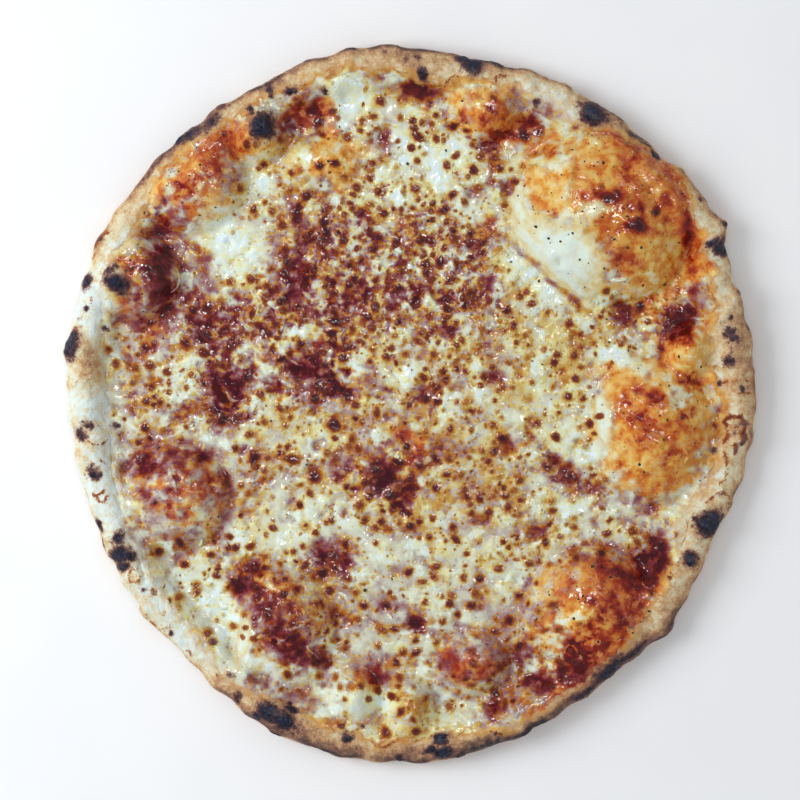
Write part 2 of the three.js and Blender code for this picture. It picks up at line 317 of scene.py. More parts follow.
def closeSheet(name, x, y, faces, onCut, top, bottom, marks):
    # upper and lower side of a sheet, joined along its cut edges
    lower = np.where(onCut, np.arange(len(x)), len(x) + np.cumsum(~onCut) - 1)
    inner = ~onCut
    upper = np.stack([x, y, top], 1)
    points = np.concatenate([upper, np.stack([x[inner], y[inner], bottom[inner]], 1)])
    both = np.concatenate([faces, lower[faces][:, ::-1]])
    allMarks = {}
    for label, values in marks.items():
        allMarks[label] = np.concatenate([values, values[inner]])
    span = 2 * dough["radius"] + 20
    flatX = np.concatenate([x / span + 0.5, x[inner] / span + 0.5])
    flatY = np.concatenate([y / span / 2 + 0.25, y[inner] / span / 2 + 0.75])
    sharp = np.concatenate([onCut, np.zeros(inner.sum(), bool)])
    return addMesh(name, points, both, allMarks, np.stack([flatX, flatY], 1), sharp)


def tone(red, green, blue):
    # a colour from 0-255 values, as the shader wants it
    values = []
    for part in (red, green, blue):
        part = part / 255
        values.append(part / 12.92 if part <= 0.04045 else ((part + 0.055) / 1.055) ** 2.4)
    return (*values, 1.0)


def node(tree, kind, inputs=None, **settings):
    made = tree.nodes.new(kind)
    for key, value in settings.items():
        setattr(made, key, value)
    for key, value in (inputs or {}).items():
        if isinstance(value, bpy.types.NodeSocket):
            tree.links.new(value, made.inputs[key])
        else:
            made.inputs[key].default_value = value
    return made


def newFinish(name):
    material = bpy.data.materials.new(name)
    material.use_nodes = True
    tree = material.node_tree
    shader = tree.nodes["Principled BSDF"]
    place = node(tree, "ShaderNodeTexCoord").outputs["Object"]
    return material, tree, shader, place


def mark(tree, label):
    return node(tree, "ShaderNodeAttribute", attribute_name=label).outputs["Fac"]


def grain(tree, place, size, detail=3.0, rough=0.55, twist=0.0):
    # noise with lumps of the given size in mm
    return node(tree, "ShaderNodeTexNoise", {
        "Vector": place, "Scale": 1 / (size * mm),
        "Detail": detail, "Roughness": rough, "Distortion": twist,
    }).outputs["Fac"]


def calc(tree, operation, a, b=0.5, clamp=False):
    return node(tree, "ShaderNodeMath", {0: a, 1: b}, operation=operation, use_clamp=clamp).outputs[0]


def between(tree, value, low, high, toLow=0.0, toHigh=1.0):
    return node(tree, "ShaderNodeMapRange", {
        "Value": value, "From Min": low, "From Max": high, "To Min": toLow, "To Max": toHigh,
    }, interpolation_type="SMOOTHSTEP").outputs["Result"]


def vary(tree, value, noise, amount):
    # moves a value up and down with the noise
    return calc(tree, "ADD", value, between(tree, noise, 0.3, 0.7, -amount, amount))


def cells(tree, place, size, **settings):
    # cells of the given size in mm
    inputs = {"Vector": place, "Scale": 1 / (size * mm)}
    return node(tree, "ShaderNodeTexVoronoi", inputs, **settings).outputs


def blend(tree, share, a, b):
    made = node(tree, "ShaderNodeMix", data_type="RGBA", clamp_factor=True)
    for socket, value in ((made.inputs[0], share), (made.inputs[6], a), (made.inputs[7], b)):
        if isinstance(value, bpy.types.NodeSocket):
            tree.links.new(value, socket)
        else:
            socket.default_value = value
    return made.outputs[2]


def ramp(tree, value, stops):
    # each stop is a position on the scale and a colour from 0-255 values
    made = node(tree, "ShaderNodeValToRGB", {"Fac": value})
    line = made.color_ramp
    while len(line.elements) < len(stops):
        line.elements.new(0.5)
    for element, (at, *color) in zip(line.elements, stops):
        element.position = at
        element.color = tone(*color)
    return made.outputs["Color"]


def bump(tree, height, strength, distance, below=None):
    inputs = {"Height": height, "Strength": strength, "Distance": distance * mm}
    if below is not None:
        inputs["Normal"] = below
    return node(tree, "ShaderNodeBump", inputs).outputs["Normal"]


crustPiece = {
    "finish": (0.2, 0.3, 0.0),  # roughness where wet, shine, softness
    "turns": 1200,  # points round the rim
    "finePart": 34.0,  # how far in from the edge the fine rings go
    "sectionStep": 0.85,  # mm between the fine rings
    "crowding": 1.15,  # over 1 brings the fine rings closer towards the edge
    "lip": 0.8,  # mm at the very edge that follow a plain curve
    "middle": 122,  # mm that the coarse rings cover, hidden under the sauce
    "middleStep": 3.2,  # mm between them
    "sideRings": 12,  # from the widest part down to the table
    "underRings": 8,  # on the underside, near its edge
    "underStep": 1.6,
    "within": 0.9985,  # share of the outline's radius, to stay inside it
    "sink": 0.35,  # the hidden middle lies a little lower than the sauce's underside
    "smallBlisters": 130,
    "seed": 21,
    # burnt places: direction in degrees, mm in from the edge, half length, half width, amount
    "char": [
        (25.8, 1, 2.2, 3, 1), (26.8, 3.5, 2.8, 3.5, 1), (27.9, 8, 1.8, 3, 1),
        (29.7, 1.4, 1.8, 1.8, 0.9), (45.3, 2, 2.6, 1.3, 0.9), (57.6, 6, 5.4, 4.6, 1.1),
        (7.6, 11.5, 4.0, 2.8, 0.7), (12.2, 9.5, 5.0, 3.2, 0.7), (14.8, 8, 1.2, 1.2, 0.7),
        (35, 2.8, 1.6, 1.5, 0.5), (2.5, 7.3, 1.5, 1.3, 0.7), (3.6, 16.7, 2, 1.2, 0.7),
        (79.4, 3.4, 4.6, 3.6, 1.1), (81.2, 2, 2.4, 2.2, 1), (87.7, 12.3, 2.6, 2.5, 0.9),
        (88.5, 5.5, 2, 1.8, 0.55), (90.5, 6, 1.8, 1.6, 0.55), (94, 3, 2, 1.8, 0.4),
        (67, 12.7, 2.4, 2, 0.65), (74.3, 6, 2.2, 1.2, 0.4), (113.6, 1.5, 2.2, 2, 0.9),
        (113.9, 5, 1.5, 3, 0.8), (114.2, 8, 1.4, 1.5, 0.7), (110.8, 10.5, 2.6, 1.6, 0.9),
        (118.3, 9, 1.4, 2.2, 0.8), (117.9, 18.2, 5.2, 4.6, 1.25), (105, 15.5, 1.6, 2.2, 0.7),
        (125.5, 4.5, 5.5, 3, 0.75), (129, 2.5, 5.5, 2.6, 0.85), (131, 0.8, 3, 1.8, 0.95),
        (137, 1.5, 9, 2, 0.6), (122, 1.5, 5, 2, 0.5), (152, 1.5, 3, 1.5, 0.5),
        (159.2, 2.5, 3.4, 1.8, 1.05), (163.7, 5, 1.6, 1.5, 0.75), (165.7, 3, 1, 1.8, 0.45),
        (166.2, 15.5, 1.4, 1.8, 0.65), (157.6, 15.5, 3.4, 4.6, 1.1), (156.2, 10.5, 2.6, 2, 0.75),
        (158.8, 20, 2, 2.6, 0.7), (155, 13, 1.4, 2, 0.6), (154.6, 17.5, 1.6, 1.2, 0.45),
        (170, 1.6, 5.6, 3.8, 1.15), (171.5, 4.5, 3.4, 3, 0.7), (185.3, 4.5, 2.8, 2.6, 0.75),
        (183.6, 9, 2.2, 2.6, 0.7), (184.4, 20, 2, 1.8, 0.7), (192.3, 7, 3.8, 2.4, 0.8),
        (193, 9, 2, 1.6, 0.85), (201.3, 2, 2.8, 1.2, 0.85), (204.2, -0.2, 2.4, 1.2, 1),
        (205, 9, 3, 2.4, 0.95), (207.5, 6, 3.6, 4, 1.15), (209.8, 4, 2.2, 2.8, 1),
        (208.6, 9.4, 2.8, 2, 1), (215, 6.3, 1.2, 1.3, 0.8), (216.3, 9.6, 1.5, 1.5, 0.45),
        (224, 3, 1.2, 1.2, 0.75), (230.6, 14.3, 2.3, 1.5, 0.7), (236.6, 10, 2, 2.2, 0.5),
        (234.8, 5.5, 1.4, 1.3, 0.55), (239.8, 3.4, 2, 2.4, 0.8), (244, 2.5, 2.2, 2, 1),
        (245.6, 7, 5, 4.2, 1.1), (248.4, 7.5, 4.6, 3.8, 1.1), (249, 13.8, 4, 1.6, 1),
        (248.2, 16, 1.5, 1.5, 0.7), (251, 6, 4, 5, 0.45), (259.5, 10.6, 2.5, 1.9, 1),
        (258.3, 3.8, 4, 2, 0.4), (262, 15.3, 1.4, 1, 0.6), (268.5, 1.5, 2.2, 2, 1),
        (270.5, 7.5, 3, 1.8, 0.45), (273.6, 6.5, 3, 2, 1), (275.6, 4, 4.4, 2.8, 1.15),
        (275.5, 10.6, 3.3, 2.3, 1.05), (286.3, 2.4, 2.3, 1.2, 0.8), (284.5, 5.4, 1.2, 1, 0.6),
        (294.8, 3, 2.8, 1.4, 0.55), (301, 2, 10, 2.8, 0.8), (307, 3, 11, 3.4, 0.95),
        (312, 2.5, 8, 2.6, 0.85), (319.6, 1.5, 3.6, 1.4, 0.7), (331, 7.5, 3.4, 3, 0.95),
        (338.2, 6, 6, 4.6, 1.15), (338.5, 12.3, 1.5, 1.2, 0.8), (342.7, 1.8, 0.9, 0.9, 0.7),
        (343.8, 5.5, 0.9, 2.6, 0.4), (351.7, 6.5, 2, 1, 0.6), (354.8, 1.8, 3, 1, 0.45),
        (353.5, 5, 2.4, 1.4, 0.65), (356.6, 7, 1.4, 3, 0.6), (355, 10.5, 2, 1.4, 0.5),
        (351.2, 15.7, 1.8, 1.2, 0.8),
    ],
    # browned stretches, in the same terms
    "bake": [
        (10, 5, 16, 7, 0.26), (35, 3, 8, 4, 0.12), (54, 5, 14, 6, 0.34), (47, 2, 10, 2, 0.3),
        (98, 4, 40, 7, 0.1), (88, 7, 9, 6, 0.16), (114, 4, 6, 7, 0.25), (127, 4, 12, 4, 0.28),
        # (172.5, 9) is browning and partly painted shade on the side of the bump next to the char
        (140, 2, 14, 2.5, 0.2), (153, 1.5, 8, 3, 0.2), (172.5, 9, 9, 8, 0.5), (185, 7, 7, 8, 0.22),
        (192, 7, 6, 4, 0.15), (207, 6, 12, 7, 0.2), (212.3, 7.5, 3, 3, 0.18), (236, 4, 10, 5, 0.15),
        (247, 7, 15, 9, 0.38), (258, 4, 16, 5, 0.3), (275, 4, 22, 5, 0.38), (292, 2, 22, 3, 0.4),
        (307, 2, 26, 4, 0.45), (319, 2, 8, 3, 0.25), (331, 7, 7, 5, 0.2), (338, 6, 10, 7, 0.22),
        (354.5, 7, 8, 8, 0.22), (345, 5, 8, 5, 0.1), (75, 3, 16, 3, 0.12), (3, 9, 5, 9, 0.1),
    ],
    # how dark the very edge is: direction, spread in degrees, amount
    "edgeDark": [
        (90, 45, 0.6), (130, 14, 0.4), (285, 40, 0.6), (247, 12, 0.35), (10, 30, 0.25), (205, 14, 0.2),
    ],
    # how far in from the edge the rim is stained: direction, mm
    "stain": [
        (0, 14), (5, 17), (8, 20), (12, 19), (15, 15), (20, 11), (25, 7), (28, 12), (31, 10), (34, 8),
        (38, 3), (42, 1), (46, 1.5), (50, 4), (55, 9), (60, 12), (65, 10), (75, 9), (80, 10), (85, 15),
        (90, 12), (95, 12), (100, 8), (105, 8), (110, 9), (115, 6), (120, 8), (125, 8), (130, 5),
        (135, 5), (140, 7), (145, 11), (150, 12), (155, 8), (160, 9), (165, 13), (170, 15), (175, 17),
        (180, 19), (185, 18), (190, 17), (195, 14), (200, 13), (205, 12), (210, 13), (215, 14),
        (220, 12), (225, 12), (230, 8), (240, 8), (245, 12), (250, 14), (255, 10), (260, 12), (265, 8),
        (270, 10), (275, 12), (280, 10), (285, 6), (295, 6), (300, 5), (310, 6), (315, 9), (320, 13),
        (325, 10), (330, 11), (335, 17), (340, 18), (345, 14), (350, 13), (355, 14),
    ],
    # wrinkles, rings and scratches: half width in mm, browning, rise in mm, line of direction and mm in
    "wrinkles": [
        (0.8, 0.5, 0.3, [(1.8, 9), (1.8, 2), (2.6, 1), (3.4, 1.2), (3.9, 4), (4, 13), (3.8, 16.5)]),
        (0.8, 0.4, 0.4, [(6.8, 18), (7.3, 16), (8.5, 15), (9.6, 16.5), (10, 19.5)]),
        (1.6, -0.3, 1.4, [(14.5, 13), (16, 9), (18.5, 2)]), (2.4, 0.1, 1.2, [(19, 3), (19.2, 4)]),
        (1.6, 1.0, 0.4, [(44.5, 5.2), (46, 5.4), (47.6, 6.2)]),
        (1.0, 0.5, 0.3, [(30, 18), (31.5, 13), (33.5, 9)]),
        (0.9, 0.7, 0.4, [(73.7, 5), (74.6, 5.3), (75.1, 7), (74.9, 8.5)]),
        (0.9, 0.6, 0.3, [(78.8, 13), (79.6, 15), (80, 18)]),
        (0.8, 0.6, 0.4, [(81.5, 10.5), (82.6, 11.5), (83.4, 15)]),
        (0.7, 0.3, 0.5, [(90.2, 14), (90.4, 11.5), (91.6, 11.3), (92, 13.5)]),
        (0.8, 0.6, 0.3, [(104.6, 10.6), (105.3, 10), (106, 10.8)]),
        (0.8, 0.6, 0.2, [(108, 10.4), (108.8, 10)]),
        (1.2, 0.8, 0.5, [(150.3, 3), (151.5, 1.5), (154, -0.2), (155.5, 0.8)]),
        (0.9, 0.35, 0.4, [(177, 4.5), (175.5, 8), (174, 12)]),
        (0.8, 0.3, 0.4, [(176.2, 9), (174.8, 13)]), (3.5, 0.1, 1.0, [(169, 6), (171.5, 9), (172, 12)]),
        (0.7, 0.5, 0.4, [(186.2, 6), (187.3, 9), (187.5, 13), (186.8, 16)]),
        (0.9, 0.7, 0.5, [(196, 9), (196.3, 5.5), (197.6, 5.5), (198, 8), (197, 9.8)]),
        (0.7, 0.5, 0.5, [
            (211, 7.5), (211.4, 5.2), (212.6, 4.6), (213.4, 7), (212.8, 9.6), (211.4, 9.4), (211, 7.5),
        ]),
        (0.7, 0.5, 0.4, [(215.8, 10), (216.3, 8.8), (217, 10), (216.4, 11.2), (215.8, 10)]),
        (0.8, 0.5, 0.5, [(218.6, 1.8), (219.6, 0.4), (221.3, 1), (222.6, 2.8), (223, 6)]),
        (1.0, 0.5, 0.2, [(220.4, 9), (221, 8)]),
        (1.9, 0.6, -0.4, [(223, 20.5), (225, 17.5), (227, 15), (229, 12.5)]),
        (1.0, 0.6, 0.2, [(228.2, 3.2), (228.9, 3.4)]),
        (0.7, 0.7, 0.5, [(263.8, 10), (264.6, 8.4), (266, 8), (267.4, 9.4), (268.4, 11.5)]),
        (3.0, -0.1, 1.0, [(266, 11), (266.5, 14)]),
        (3.6, 0.25, 0.9, [(322, 13), (326, 11.5), (330, 13.5)]),
        (0.9, 0.8, 0.2, [(326.3, 12.4), (326.7, 12.6)]),
        (0.9, 0.8, 0.2, [(328.2, 13.8), (328.6, 14.4)]), (1.0, 0.8, 0.2, [(330, 15.6), (330.6, 16.8)]),
        (0.9, 0.6, 0.8, [(342.5, 0), (343.7, 3), (344.3, 7), (343, 10), (341.5, 12)]),
        (0.7, 0.5, 0.5, [(345.4, 9.4), (346.6, 8.4), (348, 9.2)]),
        (0.8, 0.6, 0.3, [(348.6, 9), (350.2, 9.6), (351.2, 11)]),
        (1.2, 1.0, 0.3, [(351.4, 6.3), (352.6, 7.5)]),
        (1.3, 0.9, 0.7, [
            (353.4, 5.2), (354.2, 4.6), (355.4, 6), (356.6, 5.4), (357.8, 8.2), (357.7, 12), (356.6, 14.5),
        ]),
        (1.1, 0.7, 0.3, [(353, 13), (354.6, 12.4), (356, 13.4)]),
        (1.6, 0.5, 0.3, [(354.6, 6.5), (355.6, 9)]), (0.9, 0.5, 0.3, [(161.5, 6), (163, 7.5)]),
        (1.0, 0.6, 0.2, [(167.4, 2.4), (167.8, 3.4)]),
        (0.8, 0.6, 0.2, [(202, 15), (203, 13.6), (204.4, 14.4)]),
        (0.9, 0.6, 0.2, [(190.4, 12), (191.2, 13)]), (0.8, 0.5, 0.2, [(195.8, 4.2), (196.4, 4)]),
        (0.8, 0.7, 0.3, [(284, 8), (284.6, 6), (285.6, 4.6)]),
    ],
    # stretches with little oil along the topping: direction, spread, amount
    "lean": [(303, 18, 0.65), (335, 8, 0.3), (182, 16, 0.45), (30, 8, 0.3), (245, 14, 0.3)],
    # bluish white, floury stretches, on the left side of the rim also painted light where it faces the
    # lamp, in the same terms
    "flouryAndLit": [
        (182, 30, 0.22), (205, 20, 0.12), (232, 14, 0.12), (162, 8, 0.08), (335, 8, 0.08), (64, 8, 0.2),
        (350, 8, 0.08), (10, 5, 0.06),
    ],
}


def stainDepth(x, y):
    # mm inside the line where oil and sauce have stained the rim, under 0 outside
    degrees, inset = polar(x, y)
    toward, into = np.array(crustPiece["stain"]).T
    line = np.interp(degrees, toward, into, period=360)
    return inset - line + clouds(x, y, 6, 251) + 0.6 * clouds(x, y, 2.4, 257)


def rimPaint(degrees, inset, places):
    # soft patches placed by direction and distance from the edge; the strongest one counts
    total = np.zeros_like(inset)
    for toward, into, along, across, amount in places:
        aside = ((degrees - toward + 180) % 360 - 180) * math.pi / 180 * dough["radius"]
        reach = np.hypot(aside / along, (inset - into) / across)
        total = np.maximum(total, amount * np.exp(-0.6 * reach ** 1.9))
    return total


def charAt(x, y):
    # how burnt the dough is, with frayed outlines
    wobbleX = x + 0.9 * clouds(x, y, 4, 31)
    wobbleY = y + 0.9 * clouds(x, y, 4, 37)
    return rimPaint(*polar(wobbleX, wobbleY), crustPiece["char"])


def wrinklesAt(x, y):
    # browning and rise of the wrinkles
    x = x + 0.5 * clouds(x, y, 3, 261)
    y = y + 0.5 * clouds(x, y, 3, 263)
    toast = np.zeros_like(x)
    rise = np.zeros_like(x)
    for width, browning, lift, line in crustPiece["wrinkles"]:
        toward, into = np.array(line, float).T
        reach = edgeRadius(toward) - into
        lineX = reach * np.cos(np.radians(toward))
        lineY = reach * np.sin(np.radians(toward))
        near = (np.abs(x - lineX.mean()) < 22) & (np.abs(y - lineY.mean()) < 22)
        away = np.full(near.sum(), 99.0)
        for k in range(len(line) - 1):
            stepX = lineX[k + 1] - lineX[k]
            stepY = lineY[k + 1] - lineY[k]
            asideX = x[near] - lineX[k]
            asideY = y[near] - lineY[k]
            share = np.clip((asideX * stepX + asideY * stepY) / (stepX ** 2 + stepY ** 2), 0, 1)
            away = np.minimum(away, np.hypot(asideX - share * stepX, asideY - share * stepY))
        close = np.exp(-((away / width) ** 2))
        toast[near] = toast[near] + browning * close
        rise[near] = rise[near] + lift * close
    return toast, rise


def crustLook(x, y):
    # numbers that the finishes turn into the dough's colour
    spec = crustPiece
    degrees, inset = polar(x, y)
    bake = 0.235 + 0.09 * clouds(x, y, 16, 41) + 0.07 * clouds(x, y, 5, 43)
    uneven = 1 + 0.6 * clouds(x, y, 5, 45)
    for place in spec["bake"]:
        bake = bake + rimPaint(degrees, inset, [place]) * uneven
    edgeDark = 0.25 + swellAt(spec["edgeDark"], degrees)
    # lighter where floury, and on the left side as painted light
    flouryAndLit = swellAt(spec["flouryAndLit"], degrees)
    bake = bake + edgeDark * np.exp(-(np.maximum(inset, 0) / 2.0) ** 1.3) - flouryAndLit
    return {
        "char": charAt(x, y),
        "bake": np.clip(bake, 0, 1),
        "stain": stainDepth(x, y),
        "oil": np.clip(1.05 - 3.5 * flouryAndLit - swellAt(spec["lean"], degrees), 0.2, 1),
        "toast": wrinklesAt(x, y)[0],
    }


def makeCrust():
    spec = crustPiece
    turns = spec["turns"]
    degrees = np.arange(turns) * 360 / turns
    unitX = np.cos(np.radians(degrees))
    unitY = np.sin(np.radians(degrees))
    edge = edgeRadius(degrees) * spec["within"]
    crest = crestAt(degrees)
    belly = crest * dough["bellyShare"]
    tuck = dough["crestIn"] * 0.5  # how far the side curls in under the rim
    rings = []  # plan points and heights, from the middle of the top to the middle of the underside

    def addRing(radius, height, every=1):
        x = (radius * unitX)[::every]
        y = (radius * unitY)[::every]
        z = np.broadcast_to(height, turns)[::every]
        rings.append(np.stack([x, y, z], 1))

    # the hidden middle, on coarse rings, with fewer points where they are small
    for share in np.arange(0.02, 1.0, spec["middleStep"] / spec["middle"]):
        radius = (edge - spec["finePart"]) * share
        top = doughTop(radius * unitX, radius * unitY) - spec["sink"]
        addRing(radius, top, 12 if share < 0.25 else 3)
    # the rim's upper side
    steps = int(spec["finePart"] / spec["sectionStep"])
    for i in range(steps + 1):
        inset = spec["finePart"] * (1 - i / steps) ** spec["crowding"]
        radius = edge - inset
        if inset < spec["lip"]:
            over = math.sqrt(1 - (1 - inset / dough["crestIn"]) ** 2)
            addRing(radius, belly + (crest - belly) * over)
        else:
            sunk = spec["sink"] * ease(inset - bareAt(degrees), 0, 4)
            addRing(radius, doughTop(radius * unitX, radius * unitY) - sunk)
    # down the side and under
    for i in range(1, spec["sideRings"] + 1):
        angle = math.pi / 2 * i / spec["sideRings"]
        addRing(edge - tuck * (1 - math.cos(angle)), belly * (1 - math.sin(angle)) ** 1.15)
    for i in range(1, spec["underRings"] + 1):
        addRing(edge - (tuck + i * spec["underStep"]), 0.0)
    innerRadius = edge - tuck - spec["underRings"] * spec["underStep"]
    for share in np.linspace(0.95, 0.02, 26):
        addRing(innerRadius * share, 0.0, 12 if share < 0.3 else 3)
    # stitch the rings
    firsts = np.concatenate([[0], np.cumsum([len(r) for r in rings])])
    points = np.concatenate(rings)
    faces = []
    for k in range(1, len(rings)):
        faces.append(stitch(firsts[k - 1], len(rings[k - 1]), firsts[k], len(rings[k])))
    middleTop = len(points)
    points = np.concatenate([points, [[0, 0, points[0, 2]], [0, 0, 0]]])
    i = np.arange(len(rings[0]))
    j = (i + 1) % len(rings[0])
    faces.append(np.stack([np.full_like(i, middleTop), i, j], 1))
    i = np.arange(len(rings[-1]))
    j = (i + 1) % len(rings[-1])
    last = firsts[-2]
    faces.append(np.stack([np.full_like(i, middleTop + 1), last + j, last + i], 1))
    faces = np.concatenate(faces)
    points, low = roughenCrust(points, faces)
    # on the side, char and browning run out unevenly on the way down
    x, y, z = points.T
    degrees, inset = polar(x, y)
    below = ease(crestAt(degrees) - z, 2, 7) * (1 - ease(inset, 5, 8))
    patchy = ease(clouds(x + 2 * z, y + 3 * z, 9, 269), -0.35, 0.35)
    swayX = x + 4 * below * clouds(x + 2 * z, y - 3 * z, 8, 265, 2)
    swayY = y + 4 * below * clouds(x - 3 * z, y + 2 * z, 8, 267, 2)
    look = toppingLook(swayX, swayY)
    look["char"] = look["char"] * (1 - below * (0.3 + 0.65 * patchy))
    look["bake"] = np.clip(look["bake"] - below * (0.12 + 0.3 * patchy), 0, 1)
    look["toast"] = look["toast"] * (1 - below)
    look["under"] = low
    # flat map: the upper side with the rim's side round it in the left half, the underside in the right
    mapWidth = 340
    sideRoom = 8
    radius = np.hypot(x, y)
    turned = np.arctan2(y, x)
    side = np.where((low > 0.5) | (radius <= 135), 0, np.clip(sideRoom - z, 0, sideRoom))
    reach = (radius + side) / mapWidth
    flatX = 0.25 + 0.5 * reach * np.cos(turned) + np.where(low > 0.5, 0.5, 0)
    flatY = 0.5 + reach * np.sin(turned)
    return addMesh("baked_crust", points, faces, look, np.stack([flatX, flatY], 1))


def stitch(first, firstCount, second, secondCount):
    # triangles between two rings of which one may have several times the points of the other
    if firstCount == secondCount:
        i = np.arange(firstCount)
        j = (i + 1) % firstCount
        return np.concatenate([
            np.stack([first + i, second + i, second + j], 1),
            np.stack([first + i, second + j, first + j], 1),
        ])
    many, few = (secondCount, firstCount) if secondCount > firstCount else (firstCount, secondCount)
    ratio = many // few
    fine, coarse = (second, first) if secondCount > firstCount else (first, second)
    flip = secondCount < firstCount
    i = np.arange(many)
    near = ((i + ratio // 2) // ratio) % few
    fan = np.stack([coarse + near, fine + i, fine + (i + 1) % many], 1)
    k = np.arange(few)
    at = (k * ratio + (ratio - ratio // 2)) % many
    gap = np.stack([coarse + k, fine + at, coarse + (k + 1) % few], 1)
    faces = np.concatenate([fan, gap])
    return faces[:, ::-1] if flip else faces


def roughenCrust(points, faces):
    # pushes the rim in and out along its own normals: small blisters, wrinkles and crumbly char
    spec = crustPiece
    a, b, c = points[faces[:, 0]], points[faces[:, 1]], points[faces[:, 2]]
    faceNormal = np.cross(b - a, c - a)
    normal = np.zeros_like(points)
    for k in range(3):
        np.add.at(normal, faces[:, k], faceNormal)
    normal /= np.maximum(np.linalg.norm(normal, axis=1, keepdims=True), 1e-9)
    x, y, z = points.T
    degrees, inset = polar(x, y)
    low = ((normal[:, 2] < -0.3) & (z < 6)).astype(float)
    onRim = 1 - ease(inset - bareAt(degrees), 3, 9)
    upper = np.where(low > 0.5, 0.25, 1.0)
    push = 0.42 * clouds(x + 3 * z, y - 2 * z, 8, 61, 2)
    push = push + 0.20 * clouds(x - 2 * z, y + 3 * z, 2.6, 67, 2)
    random = np.random.default_rng(spec["seed"])
    at = random.uniform(0, 360, spec["smallBlisters"])
    for k in range(spec["smallBlisters"]):
        into = random.uniform(1.0, 12)
        radius = float(edgeRadius(at[k:k + 1])[0]) - into
        size = random.uniform(1.6, 4.2)
        cx, cy = radius * math.cos(math.radians(at[k])), radius * math.sin(math.radians(at[k]))
        push = push + 0.22 * size * dome(x, y, cx, cy, size, size * random.uniform(0.7, 1.3), 0, 1.3)
    crumbly = 0.4 + 0.6 * clouds(x, y + z, 1.9, 71, 2)
    push = push + ease(charAt(x, y), 0.3, 0.9) * crumbly + wrinklesAt(x, y)[1]
    depth = np.where(z <= 0.01, 0.0, push * onRim * upper)
    moved = points + normal * depth[:, None]
    moved[:, 2] = np.maximum(moved[:, 2], 0.0)
    reach = np.hypot(moved[:, 0], moved[:, 1])
    turned = np.degrees(np.arctan2(moved[:, 1], moved[:, 0])) % 360
    shrink = np.minimum(1, edgeRadius(turned) * spec["within"] / np.maximum(reach, 1e-6))
    moved[:, :2] *= shrink[:, None]
    return moved, low


